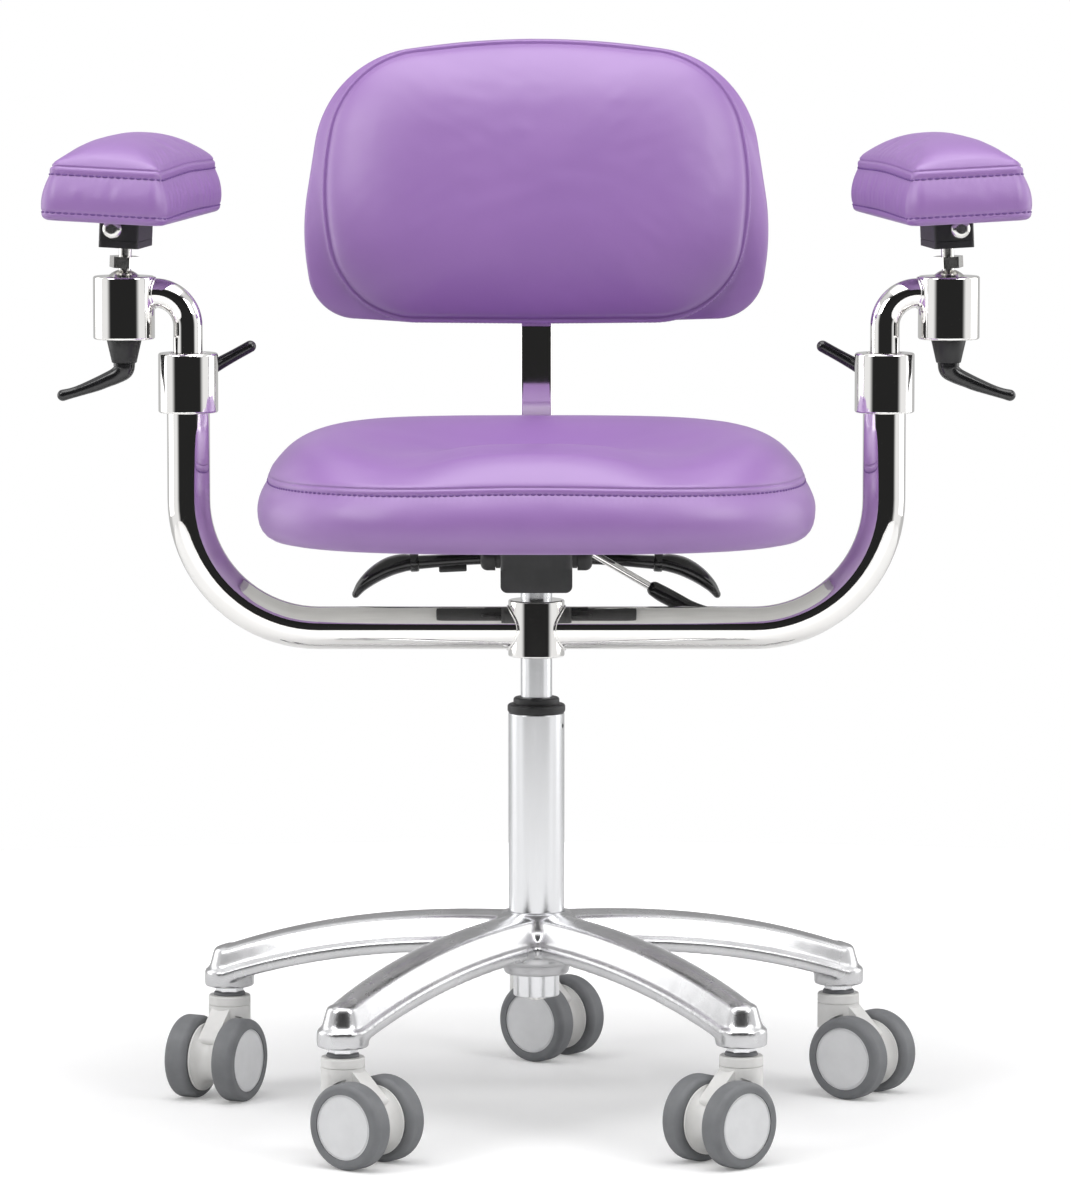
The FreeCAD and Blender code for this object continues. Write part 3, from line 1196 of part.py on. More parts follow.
def back_bar():
    """Flat bar from the recline pin backwards, up behind the seat and leaning back behind the cushion."""
    bend = Vector(0, BAR_Y, RECLINE_PIN.z - BAR_DROP)
    corners = [
        (RECLINE_PIN, 0),
        (bend, BAR_BEND_RADIUS),
        (LEAN_CORNER, BAR_LEAN_RADIUS),
        (LEAN_CORNER + BACK_AXIS * BAR_TOP, 0),
    ]
    path = rounded_wire(corners, closed=False)
    half_x = BAR_WIDTH / 2
    half_z = BAR_THICKNESS / 2
    upward = X_AXIS.cross(bend - RECLINE_PIN).normalize()
    spots = [(-half_x, -half_z), (half_x, -half_z), (half_x, half_z), (-half_x, half_z)]
    section = rounded_wire([(RECLINE_PIN + X_AXIS * x + upward * z, BAR_ROUND) for x, z in spots])
    strip = path.makePipeShell([section], True, False)
    across = X_AXIS * half_x
    eye = rod(RECLINE_EYE_DIA / 2, RECLINE_PIN - across, RECLINE_PIN + across)
    bore = rod(TILT_PIN_DIA / 2 + RUN_FIT, RECLINE_PIN - across * 2, RECLINE_PIN + across * 2)
    return joined(strip, eye).cut(bore)


def back_outline(y, inset):
    """Outline of the back at a depth: arched top, rounded shoulders and hips, nearly straight lower edge."""
    wide = 1 - inset / (BACK_WIDTH / 2)
    tall = 1 - inset / (BACK_HEIGHT / 2)
    middle = BACK_LOW_Z + BACK_HEIGHT / 2
    half_width = BACK_WIDTH / 2 * wide
    height = BACK_HEIGHT * tall
    right = [(half_width * x, middle + height * (z - 0.5), share) for x, z, share in BACK_CORNERS]
    left = [(-x, z, share) for x, z, share in reversed(right[1:-1])]
    return eased_wire([(Vector(x, y, z), share) for x, z, share in right + left])


def back_cushion():
    """Upholstered back with drawn-in sides and a crowned front."""
    half = BACK_HEIGHT / 2
    sections = [back_outline(BACK_REAR_Y - BACK_THICKNESS * run, half * draw) for run, draw in BACK_SECTIONS]
    return leaned(Part.makeLoft(sections, True, False))


def back_shell():
    """Board behind the cushion with the carrier that slides on the bar."""
    board = Part.Face(back_outline(BAR_FACE_Y, BACK_BOARD_INSET)).extrude(Y_AXIS * -BACK_BOARD_THICKNESS)
    low = LEAN_CORNER.z + CARRIER_HEIGHT
    rear = BAR_Y + BAR_THICKNESS / 2 + SIDE_PLAY
    carrier = block(Vector(-CARRIER_WIDTH / 2, BAR_FACE_Y - OVERCUT, low),
                    Vector(CARRIER_WIDTH / 2, rear + CARRIER_WALL, low + CARRIER_LENGTH))
    slot_half = BAR_WIDTH / 2 + SIDE_PLAY
    slot = block(Vector(-slot_half, BAR_FACE_Y, low - OVERCUT),
                 Vector(slot_half, rear, low + CARRIER_LENGTH + OVERCUT))
    return leaned(joined(board, carrier.cut(slot)))


def all_nodes():
    """Every node's solids by name."""
    nodes = {
        "base_star": [base_star()],
        "column_tube": [column_tube()],
        "column_bush": [column_bush()],
        "castor_stems": [],
        "lift_rod": lift_rod(),
        "gas_cylinder": [gas_cylinder()],
        "arm_frame": [arm_frame()],
        "mech_housing": [mech_housing()],
        "mech_cover": [mech_cover()],
        "pivot_pins": pivot_pins(),
        "seat_plate": [seat_plate()],
        "seat_board": [seat_board()],
        "seat_cushion": [seat_cushion()],
        "height_lever": [paddle_lever()],
        "tilt_lever": [tilt_lever()],
        "back_lever": back_lever(),
        "back_bar": [back_bar()],
        "back_shell": [back_shell()],
        "back_cushion": [back_cushion()],
    }
    stem = castor_stem()
    for name in CASTOR_NAMES:
        nodes["castor_stems"].append(placed(stem, Placement(castor_place(name).Base, Rotation())))
    nodes.update(castors())
    on_ball = {
        "ball_stud": ball_stud(),
        "pad_block": pad_block(),
        "pad_bolt": pad_bolt(),
        "arm_pad": arm_pad(),
    }
    left = {name: placed(shape, PAD_PLACE) for name, shape in on_ball.items()}
    left["arm_bush"] = arm_bush()
    left["elbow_arm"] = elbow_arm()
    left["pad_lever"] = pad_lever()
    left["collar_lever"] = collar_lever()
    for name, shape in left.items():
        nodes[name + "_left"] = [shape]
        nodes[name + "_right"] = [mirrored(shape)]
    return nodes


os.makedirs("parts", exist_ok=True)
for node_name, solids in all_nodes().items():
    Part.makeCompound(solids).exportStep("parts/%s.step" % node_name)
    sound = all(shape.isValid() and len(shape.Solids) == 1 for shape in solids)
    print("%-28s %2d solids %9.1f cm3 %s" % (node_name, len(solids), sum(s.Volume for s in solids) / 1000,
                                             "sound" if sound else "CHECK"))
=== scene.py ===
import json
import math

import bpy
import numpy as np
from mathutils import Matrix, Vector
from mathutils.kdtree import KDTree


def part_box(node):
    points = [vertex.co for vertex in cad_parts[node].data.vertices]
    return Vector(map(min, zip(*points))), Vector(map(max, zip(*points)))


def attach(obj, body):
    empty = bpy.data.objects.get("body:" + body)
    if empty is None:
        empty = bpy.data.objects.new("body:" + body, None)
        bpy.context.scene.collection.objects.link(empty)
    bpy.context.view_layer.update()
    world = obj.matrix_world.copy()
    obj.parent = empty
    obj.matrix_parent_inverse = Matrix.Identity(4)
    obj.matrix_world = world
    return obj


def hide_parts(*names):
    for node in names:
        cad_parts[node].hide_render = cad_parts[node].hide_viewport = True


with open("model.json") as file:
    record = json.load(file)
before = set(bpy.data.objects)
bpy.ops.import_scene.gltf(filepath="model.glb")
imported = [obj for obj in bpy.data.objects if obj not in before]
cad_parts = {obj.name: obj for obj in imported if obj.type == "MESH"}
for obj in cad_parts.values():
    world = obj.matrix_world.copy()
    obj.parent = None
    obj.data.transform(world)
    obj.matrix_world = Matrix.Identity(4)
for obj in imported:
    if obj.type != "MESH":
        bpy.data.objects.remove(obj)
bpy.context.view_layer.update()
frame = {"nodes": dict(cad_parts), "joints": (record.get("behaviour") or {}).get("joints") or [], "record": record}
nodes = frame["nodes"]
joints = {joint["name"]: joint for joint in frame["joints"]}
MM = 0.001
SIDES = {"left": -1, "right": 1}  # sign of x


# Small tools
ARC_POINTS = 240  # on each rounded corner of an outline before it is resampled
NORMAL_REACH = 4  # neighbours on either side that an outline's normal is averaged over
CAP_ANGLES = np.radians([84, 70, 55, 40, 25, 12])  # of the rings that round off a bar's ends
LEAST_RADIUS = 0.02


def smoothstep(low, high, value):
    """0 below low, 1 above high and a smooth rise between them."""
    share = np.clip((value - low) / (high - low), 0, 1)
    return share * share * (3 - 2 * share)


def resample(points, count):
    """Evenly spaced points along a closed polyline."""
    line = np.vstack([points, points[:1]])
    run = np.concatenate([[0], np.cumsum(np.linalg.norm(np.diff(line, axis=0), axis=1))])
    spots = np.linspace(0, run[-1], count, endpoint=False)
    return np.column_stack([np.interp(spots, run, line[:, k]) for k in range(line.shape[1])])


def rounded_outline(corners, count):
    """Closed outline of evenly spaced points round (x, y, radius) corners, from the first corner's arc."""
    points = []
    total = len(corners)
    for index, (x, y, radius) in enumerate(corners):
        corner = np.array([x, y])
        back = np.array(corners[index - 1][:2]) - corner
        ahead = np.array(corners[(index + 1) % total][:2]) - corner
        back = back / np.linalg.norm(back)
        ahead = ahead / np.linalg.norm(ahead)
        half = math.acos(np.clip(back @ ahead, -1, 1)) / 2
        middle = corner + (back + ahead) / np.linalg.norm(back + ahead) * radius / math.sin(half)
        start = corner + back * radius / math.tan(half) - middle
        end = corner + ahead * radius / math.tan(half) - middle
        first = math.atan2(start[1], start[0])
        turn = (math.atan2(end[1], end[0]) - first + math.pi) % (2 * math.pi) - math.pi
        for share in np.linspace(0, 1, ARC_POINTS):
            angle = first + turn * share
            points.append(middle + radius * np.array([math.cos(angle), math.sin(angle)]))
    return resample(np.array(points), count)


def outward(outline):
    """Unit normals of a closed counter-clockwise outline."""
    along = np.roll(outline, -1, axis=0) - np.roll(outline, 1, axis=0)
    normal = np.column_stack([along[:, 1], -along[:, 0]])
    normal = sum(np.roll(normal, shift, axis=0) for shift in range(-NORMAL_REACH, NORMAL_REACH + 1))
    return normal / np.linalg.norm(normal, axis=1)[:, None]


def smooth_path(points, count):
    """Catmull-Rom curve through the rows of points."""
    points = np.array(points, float)
    padded = np.vstack([2 * points[0] - points[1], points, 2 * points[-1] - points[-2]])
    rows = []
    for spot in np.linspace(0, len(points) - 1, count):
        index = min(int(spot), len(points) - 2)
        t = spot - index
        a, b, c, d = padded[index:index + 4]
        square = (2 * a - 5 * b + 4 * c - d) * t ** 2
        cube = (3 * b - a - 3 * c + d) * t ** 3
        rows.append(0.5 * (2 * b + (c - a) * t + square + cube))
    return np.array(rows)


def mesh_piece(name, vertices, faces, material, body, slot, stands_for=()):
    """A smooth mesh in millimetres that rides on a CAD body."""
    mesh = bpy.data.meshes.new(name)
    mesh.from_pydata((np.asarray(vertices) * MM).tolist(), [], [tuple(int(i) for i in f) for f in faces])
    mesh.validate()
    mesh.polygons.foreach_set("use_smooth", [True] * len(mesh.polygons))
    mesh.materials.append(material)
    piece = bpy.data.objects.new(name, mesh)
    bpy.context.scene.collection.objects.link(piece)
    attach(piece, body)
    if stands_for:
        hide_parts(*stands_for)
    return piece


def stacked(rings):
    """Vertices and faces of a closed body from rings of points, first ring at the back or bottom."""
    columns = len(rings[0])
    count = len(rings) * columns
    vertices = np.vstack([*rings, rings[0].mean(0)[None], rings[-1].mean(0)[None]])
    faces = []
    for row in range(len(rings) - 1):
        for column in range(columns):
            a = row * columns + column
            b = row * columns + (column + 1) % columns
            faces.append((a, b, b + columns, a + columns))
    last = count - columns
    for column in range(columns):
        following = (column + 1) % columns
        faces.append((following, column, count))
        faces.append((last + column, last + following, count + 1))
    return vertices, faces


def swept(path, radii, up, sides=36, power=2.0):
    """Vertices and faces of a bar with rounded ends; radii are (across, thick) rows, up points across."""
    path = np.asarray(path, float)
    radii = np.asarray(radii, float)
    up = np.asarray(up, float)
    along = np.gradient(path, axis=0)
    along = along / np.linalg.norm(along, axis=1)[:, None]
    turns = np.linspace(0, 2 * math.pi, sides, endpoint=False)
    cos = np.sign(np.cos(turns)) * np.abs(np.cos(turns)) ** (2 / power)
    sin = np.sign(np.sin(turns)) * np.abs(np.sin(turns)) ** (2 / power)

    def ring(point, way, across_radius, thick_radius):
        across = up - way * (up @ way)
        across = across / np.linalg.norm(across)
        normal = np.cross(way, across)
        return point + np.outer(cos * across_radius, across) + np.outer(sin * thick_radius, normal)

    def cap(end, sign):
        thick = min(radii[end])
        rings = []
        for angle in CAP_ANGLES:
            point = path[end] + sign * along[end] * thick * math.sin(angle)
            rings.append(ring(point, along[end], *(radii[end] - thick * (1 - math.cos(angle)))))
        return rings

    bar = [ring(point, way, *radius) for point, way, radius in zip(path, along, radii)]
    return stacked(cap(0, -1) + bar + cap(-1, 1)[::-1])


def joined_parts(parts):
    """One set of vertices and faces from several."""
    vertices, faces, offset = [], [], 0
    for part_vertices, part_faces in parts:
        vertices.append(part_vertices)
        faces += [tuple(i + offset for i in face) for face in part_faces]
        offset += len(part_vertices)
    return np.vstack(vertices), faces


def turned(profile, centre, axis, sides=72):
    """Vertices and faces of a body of revolution from (radius, distance along the axis) rows."""
    axis = np.asarray(axis, float) / np.linalg.norm(axis)
    helper = np.array([1.0, 0, 0]) if abs(axis[0]) < 0.9 else np.array([0, 1.0, 0])
    first = np.cross(axis, helper)
    first = first / np.linalg.norm(first)
    second = np.cross(axis, first)
    turns = np.linspace(0, 2 * math.pi, sides, endpoint=False)
    circle = np.outer(np.cos(turns), first) + np.outer(np.sin(turns), second)
    rings = [centre + circle * max(radius, LEAST_RADIUS) + axis * height for radius, height in profile]
    return stacked(rings)


def pivot_of(name):
    """Place of a joint in millimetres."""
    return np.array(joints[name]["pos_m"]) / MM


def placed(pivot, points, side=1):
    """Points given from a pivot, mirrored to a side."""
    return [pivot + np.array(point) * np.array([side, 1, 1]) for point in points]


# Materials, with bump depths in metres
GRAIN_DEPTH = 0.0002
PEBBLE_DEPTH = 0.0004
PEBBLE_SCALE = 620.0
PEBBLE_SHARE = 0.6  # of the pebbles in the vinyl's grain, beside the fine noise
PEBBLE_STRENGTH = 0.12
VINYL_TONE_SCALE = 14.0
VINYL_FINE_SCALE = 1500.0
VINYL_SHINE = {"Specular IOR Level": 0.9, "Coat Weight": 0.3, "Coat Roughness": 0.4}
SHARP_DEG = 32


def shader(name):
    """A new node material: its tree, Principled node and a texture coordinate node."""
    material = bpy.data.materials.new(name)
    material.use_nodes = True
    tree = material.node_tree
    return material, tree, tree.nodes["Principled BSDF"], tree.nodes.new("ShaderNodeTexCoord")


def noise(tree, coordinates, scale, detail=3.0, stretch=None):
    """A noise texture on object coordinates, stretched along an axis if asked."""
    texture = tree.nodes.new("ShaderNodeTexNoise")
    texture.inputs["Scale"].default_value = scale
    texture.inputs["Detail"].default_value = detail
    source = coordinates.outputs["Object"]
    if stretch:
        mapping = tree.nodes.new("ShaderNodeMapping")
        mapping.inputs["Scale"].default_value = stretch
        tree.links.new(source, mapping.inputs["Vector"])
        source = mapping.outputs["Vector"]
    tree.links.new(source, texture.inputs["Vector"])
    return texture


def ramp(tree, source, low, high, start=0.3, end=0.7):
    """A two-colour ramp on a texture's value."""
    node = tree.nodes.new("ShaderNodeValToRGB")
    for element, position, colour in zip(node.color_ramp.elements, (start, end), (low, high)):
        element.position = position
        element.color = (*colour, 1)
    tree.links.new(source, node.inputs["Fac"])
    return node


def bumped(tree, principled, height, strength, distance):
    """A bump from a height value onto the shader's normal."""
    node = tree.nodes.new("ShaderNodeBump")
    node.inputs["Strength"].default_value = strength
    node.inputs["Distance"].default_value = distance
    tree.links.new(height, node.inputs["Height"])
    tree.links.new(node.outputs["Normal"], principled.inputs["Normal"])


def spread(tree, source, low, high):
    """Maps a 0 to 1 value to a range."""
    node = tree.nodes.new("ShaderNodeMapRange")
    node.inputs["To Min"].default_value = low
    node.inputs["To Max"].default_value = high
    tree.links.new(source, node.inputs["Value"])
    return node.outputs["Result"]


def metal(name, low, high, rough, grain=None, scale=40.0, bump=0.0):
    """Bare or plated metal with a faint change of tone and roughness."""
    material, tree, principled, coordinates = shader(name)
    texture = noise(tree, coordinates, scale, detail=4.0, stretch=grain)
    tone = ramp(tree, texture.outputs["Fac"], low, high)
    principled.inputs["Metallic"].default_value = 1.0
    tree.links.new(tone.outputs["Color"], principled.inputs["Base Color"])
    tree.links.new(spread(tree, texture.outputs["Fac"], *rough), principled.inputs["Roughness"])
    if bump:
        bumped(tree, principled, texture.outputs["Fac"], bump, GRAIN_DEPTH)
    return material


def plastic(name, low, high, rough, scale=60.0, grain_scale=900.0, bump=0.05, coat=0.0):
    """Moulded plastic, paint or rubber with a fine surface grain."""
    material, tree, principled, coordinates = shader(name)
    tone = ramp(tree, noise(tree, coordinates, scale).outputs["Fac"], low, high)
    grain = noise(tree, coordinates, grain_scale, detail=2.0)
    tree.links.new(tone.outputs["Color"], principled.inputs["Base Color"])
    tree.links.new(spread(tree, grain.outputs["Fac"], *rough), principled.inputs["Roughness"])
    principled.inputs["Coat Weight"].default_value = coat
    bumped(tree, principled, grain.outputs["Fac"], bump, GRAIN_DEPTH)
    return material


def vinyl(name, low, high, rough):
    """Upholstery vinyl with a fine pebbled grain."""
    material, tree, principled, coordinates = shader(name)
    tone = ramp(tree, noise(tree, coordinates, VINYL_TONE_SCALE).outputs["Fac"], low, high)
    tree.links.new(tone.outputs["Color"], principled.inputs["Base Color"])
    cells = tree.nodes.new("ShaderNodeTexVoronoi")
    cells.feature = "SMOOTH_F1"
    cells.inputs["Scale"].default_value = PEBBLE_SCALE
    tree.links.new(coordinates.outputs["Object"], cells.inputs["Vector"])
    fine = noise(tree, coordinates, VINYL_FINE_SCALE)
    mix = tree.nodes.new("ShaderNodeMath")
    mix.operation = "MULTIPLY_ADD"
    mix.inputs[1].default_value = PEBBLE_SHARE
    tree.links.new(cells.outputs["Distance"], mix.inputs[0])
    tree.links.new(fine.outputs["Fac"], mix.inputs[2])
    tree.links.new(spread(tree, fine.outputs["Fac"], *rough), principled.inputs["Roughness"])
    for socket, value in VINYL_SHINE.items():
        principled.inputs[socket].default_value = value
    bumped(tree, principled, mix.outputs["Value"], PEBBLE_STRENGTH, PEBBLE_DEPTH)
    return material


VINYL = vinyl("purple_vinyl", (0.28, 0.138, 0.41), (0.3, 0.15, 0.43), rough=(0.4, 0.5))
THREAD = plastic("purple_thread", (0.13, 0.055, 0.23), (0.17, 0.075, 0.29), rough=(0.5, 0.65), scale=300.0,
                 grain_scale=2500.0, bump=0.3)
CHROME = metal("mirror_chrome", (0.88, 0.87, 0.85), (0.91, 0.9, 0.885), rough=(0.02, 0.05), scale=25.0)
SATIN = metal("satin_steel", (0.76, 0.765, 0.78), (0.82, 0.825, 0.84), rough=(0.2, 0.28), grain=(1, 1, 0.04),
              scale=160.0, bump=0.006)
BRIGHT = metal("bright_steel", (0.7, 0.69, 0.67), (0.78, 0.77, 0.75), rough=(0.16, 0.24), scale=90.0)
CAST = metal("polished_aluminium", (0.56, 0.56, 0.57), (0.66, 0.66, 0.67), rough=(0.22, 0.31), scale=30.0,
             bump=0.012)
BLACK = plastic("satin_black", (0.012, 0.012, 0.013), (0.02, 0.02, 0.021), rough=(0.38, 0.5))
GLOSS = plastic("gloss_black", (0.008, 0.008, 0.009), (0.013, 0.013, 0.014), rough=(0.16, 0.26), bump=0.015,
                coat=0.3)
PAINT = plastic("mech_paint", (0.035, 0.035, 0.036), (0.048, 0.048, 0.049), rough=(0.4, 0.52), bump=0.12)
BODY_GREY = plastic("castor_grey", (0.72, 0.715, 0.7), (0.78, 0.775, 0.76), rough=(0.36, 0.46), bump=0.03)
DISC_GREY = plastic("disc_grey", (0.7, 0.705, 0.715), (0.75, 0.755, 0.765), rough=(0.4, 0.5), bump=0.06)
TYRE = plastic("tyre_grey", (0.15, 0.155, 0.163), (0.18, 0.185, 0.193), rough=(0.48, 0.6), bump=0.06)
LINER = plastic("liner_plastic", (0.62, 0.62, 0.6), (0.7, 0.7, 0.68), rough=(0.4, 0.5))
BOARD = plastic("coated_board", (0.68, 0.68, 0.665), (0.74, 0.74, 0.725), rough=(0.4, 0.5), scale=35.0,
                grain_scale=400.0, bump=0.06)

FINISH = {
    "polished_aluminium": CAST,
    "satin_steel": SATIN,
    "black_plastic": BLACK,
    "bright_steel": BRIGHT,
    "chrome": CHROME,
    "mech_paint": PAINT,
    "black_steel": BLACK,
    "black_aluminium": BLACK,
    "coated_board": BOARD,
    "purple_vinyl": VINYL,
    "gloss_black": GLOSS,
    "castor_grey": BODY_GREY,
    "disc_grey": DISC_GREY,
    "tyre_grey": TYRE,
    "liner_plastic": LINER,
}
for part in frame["record"]["subparts"]:
    node = nodes[part["node"]]
    node.data.materials.clear()
    node.data.materials.append(FINISH[part["material_slot"]])
    node.data.polygons.foreach_set("use_smooth", [True] * len(node.data.polygons))
    node.data.set_sharp_from_angle(angle=math.radians(SHARP_DEG))


def cast_skin(node, voxel, rounds):
    """Rounds the edges of a casting: an even skin over the solid, relaxed a little."""
    skin = node.modifiers.new("skin", "REMESH")
    skin.mode = "VOXEL"
    skin.voxel_size = voxel * MM
    skin.use_smooth_shade = True
    relax = node.modifiers.new("relax", "SMOOTH")
    relax.factor = 0.5
    relax.iterations = rounds


cast_skin(nodes["base_star"], voxel=1.5, rounds=12)


# Upholstery, sewn
STITCH_SHARE = 0.62  # of the pitch that a thread takes up
THREAD_BOW = np.array([-0.55, 0.25, 0.5, 0.25, -0.55])  # rise along a thread, in thread radii
THREAD_SIDES = 7
STITCH_PUCKER = 0.1  # of a cover beside its threads
PUCKER_SPAN = (0.8, 1.0)  # share of a boxing over which the puckers come
BOXING_SHARES = np.linspace(0.12, 1, 12)


def stitch_row(curve, normals, pitch, radius):
    """Threads laid along a closed curve: short capsules that dip into the surface at both ends."""
    closed = np.vstack([curve, curve[:1]])
    run = np.concatenate([[0], np.cumsum(np.linalg.norm(np.diff(closed, axis=0), axis=1))])
    count = int(run[-1] / pitch)
    lift = np.vstack([normals, normals[:1]])
    reach = np.linspace(-0.5, 0.5, len(THREAD_BOW)) * pitch * STITCH_SHARE
    parts = []
    for index in range(count):
        middle = (index + 0.5) * run[-1] / count
        spots = (middle + reach) % run[-1]
        points = np.column_stack([np.interp(spots, run, closed[:, k]) for k in range(3)])
        up = np.array([np.interp(middle, run, lift[:, k]) for k in range(3)])
        points = points + THREAD_BOW[:, None] * radius * up
        parts.append(swept(points, np.full((len(points), 2), radius), up, THREAD_SIDES))
    return joined_parts(parts)


def ring_normals(rings, row):
    """Outward unit normals of a stack of rings along one row."""
    around = np.roll(rings[row], -1, axis=0) - np.roll(rings[row], 1, axis=0)
    upward = rings[row + 1] - rings[row - 1]
    normal = np.cross(around, upward)
    return normal / np.linalg.norm(normal, axis=1)[:, None]


def ripple(columns, pitches, seed):
    """Slow random waves around an outline, for soft unevenness in the cover."""
    wave = np.zeros(columns)
    source = np.random.default_rng(seed)
    turns = np.linspace(0, 2 * math.pi, columns, endpoint=False)
    for count in pitches:
        wave += source.normal() * np.sin(count * turns + source.uniform(0, 2 * math.pi))
    return wave / math.sqrt(len(pitches))


def stitch_wave(columns, columns_per_stitch):
    """Even wave around an outline, for puckers about as close as stitches."""
    return np.cos(np.linspace(0, 2 * math.pi, columns, endpoint=False) * (columns // columns_per_stitch))


def held_rows(underside, stitches, above):
    """Rings that the simulation holds: the first ones, and from below a stitch row to some way above it."""
    return [*range(underside), *range(stitches - 1, stitches + above)]


def upholstered(name, rings, stitches, body, node, pitch, thread):
    """Cushion mesh from rings, with thread rows along the named rings."""
    piece = mesh_piece(name, *stacked(rings), VINYL, body, "purple_vinyl", [node])
    rows = [stitch_row(rings[row], ring_normals(rings, row), pitch, thread) for row in stitches]
    mesh_piece(name + "_thread", *joined_parts(rows), THREAD, body, "purple_vinyl")


# Upholstery, blown up by a cloth simulation
PLUMP_VOXEL = 5.0  # of the copy of a cover that the simulation runs on
PLUMP_FRAMES = 20
PLUMP_HOLD = (4.0, 11.0)  # distances from the held rings over which the cloth comes free
PLUMP_NEIGHBOURS = 14  # of the copy's points that move a point of the cover
UNDERSIDE_ROWS = 40
HELD_STEP = 4  # one in so many of a held ring's points is used


def places(mesh):
    """A mesh's vertices in millimetres."""
    flat = np.empty(len(mesh.vertices) * 3)
    mesh.vertices.foreach_get("co", flat)
    return flat.reshape(-1, 3) / MM


def tree_of(points):
    """Search tree of points."""
    tree = KDTree(len(points))
    for index, point in enumerate(points):
        tree.insert(point, index)
    tree.balance()
    return tree


def evaluated_mesh(piece):
    """Mesh of an object with its modifiers applied."""
    return bpy.data.meshes.new_from_object(piece.evaluated_get(bpy.context.evaluated_depsgraph_get()))


def blown_up(rings, held, pressure, slack, bending):
    """Points of a voxel copy of a cover, and their movement in a cloth simulation that holds some rings."""
    vertices, faces = stacked(rings)
    fine = bpy.data.meshes.new("plump")
    fine.from_pydata((vertices * MM).tolist(), [], faces)
    copy = bpy.data.objects.new("plump", fine)
    bpy.context.scene.collection.objects.link(copy)
    skin = copy.modifiers.new("skin", "REMESH")
    skin.mode = "VOXEL"
    skin.voxel_size = PLUMP_VOXEL * MM
    coarse = evaluated_mesh(copy)
    copy.modifiers.clear()
    copy.data = coarse
    start = places(coarse)

    middle = rings[0].mean(0)
    underside = [middle + (rings[0] - middle) * share for share in np.linspace(0, 1, UNDERSIDE_ROWS)]
    seams = tree_of(np.vstack([ring[::HELD_STEP] for ring in underside + [rings[row] for row in held]]))
    group = copy.vertex_groups.new(name="held")
    for index, point in enumerate(start):
        group.add([index], 1 - float(smoothstep(*PLUMP_HOLD, seams.find(point)[2])), "REPLACE")

    cloth = copy.modifiers.new("cloth", "CLOTH")
    cloth.settings.vertex_group_mass = group.name
    cloth.settings.use_pressure = True
    cloth.settings.uniform_pressure_force = pressure
    cloth.settings.shrink_min = -slack
    cloth.settings.bending_stiffness = bending
    cloth.settings.effector_weights.gravity = 0
    cloth.collision_settings.use_collision = False
    cloth.point_cache.frame_end = PLUMP_FRAMES
    for number in range(1, PLUMP_FRAMES + 1):
        bpy.context.scene.frame_set(number)
    blown = evaluated_mesh(copy)
    shift = places(blown) - start
    bpy.context.scene.frame_set(1)
    bpy.data.objects.remove(copy)
    for used in (fine, coarse, blown):
        bpy.data.meshes.remove(used)
    return start, shift


def plumped(rings, held, pressure, slack, bending, cap):
    """Rings that follow a simulated copy of their cover, none by more than a cap."""
    start, shift = blown_up(rings, held, pressure, slack, bending)
    reach = np.linalg.norm(shift, axis=1)
    shift = shift * (cap * np.tanh(reach / cap) / np.maximum(reach, 1e-6))[:, None]
    near = tree_of(start)
    moved = []
    for ring in rings:
        points = []
        for point in ring:
            found = near.find_n(point, PLUMP_NEIGHBOURS)
            share = np.exp(-(np.array([hit[2] for hit in found]) / PLUMP_VOXEL) ** 2)
            points.append(point + share @ shift[[hit[1] for hit in found]] / share.sum())
        moved.append(np.array(points))
    return moved


# Seat cover, in millimetres; heights are over the cushion's base
SEAT_COLUMNS = 1120
SEAT_TRACE = 4000  # points of the outline before it is resampled
SEAT_POWER = 3.0  # of the superellipse that is the outline
SEAT_UNDERSIDE = ((70, 3.5), (34, 2.5), (28, -1.2), (22, -2.8), (16, -3.0), (11, -1.9), (7, 0.6), (3.8, 4.4),
                  (1.6, 9.2), (0.4, 15.0), (0.0, 21.0))  # inset and height, up to the widest place
SEAT_SEAM = 52.0
SEAT_SEAM_FRONT = (3.0, 110.0)  # rise of the seam in front and how far it spreads sideways
SEAT_SEAM_REAR = 1.5
SEAT_SEAM_WAVES = (5, 7, 9)  # around the outline
SEAT_SEAM_WAVE = 0.25
SEAT_SOFT_WAVES = range(9, 40, 3)
SEAT_BOXING = (21.0, 9.0, 6.5)  # its lower edge, how far it is drawn in and how far it ends below the seam
SEAT_DRAW_POWER = 1.9
SEAT_PUCKER = 0.14
SEAT_UNEVEN = 0.1  # of the puckers
SEAT_BOXING_WAVE = 0.35
SEAT_STITCHES = (9.7, -5.6)  # inset of the stitch row and height over the seam
SEAT_WELT = ((9.3, -4.7), (9.2, -3.6), (9.2, -2.4), (9.5, -1.4), (10.0, -0.7), (11.0, -0.2), (11.2, 0.4),
             (10.7, 1.2), (11.0, 2.1))  # inset and height over the seam
SEAT_TOP_INSETS = ((12.2, 40, 18), (43, 100, 17), (106, 200, 16))  # first and last inset and number of rings
SEAT_EDGE = (10.5, 50, 6, 8)  # start of the rounded edge, its width, how much less in front and at the rear
SEAT_EDGE_RISE = 2.2  # of the edge's start over the seam
SEAT_EDGE_POWER = 2.3
SEAT_EDGE_WAVE = 0.18
SEAT_PLATEAU = 86.0
REAR_RISE = (2.5, 40, 185)  # height, and the places along the seat between which it comes
FRONT_DROP = (5.0, -40, -190)
BOWL_DEPTH = 28.0
BOWL_REACH = (128, 92)
BOWL_PLACE = 28  # behind the seat's middle
BOWL_POWER = 1.15
THIGH_DEPTH = 14.0
THIGH_PLACE = 122  # of each hollow from the middle
THIGH_REACH = 52
THIGH_SPAN = (70, -70)  # places along the seat between which the hollows come


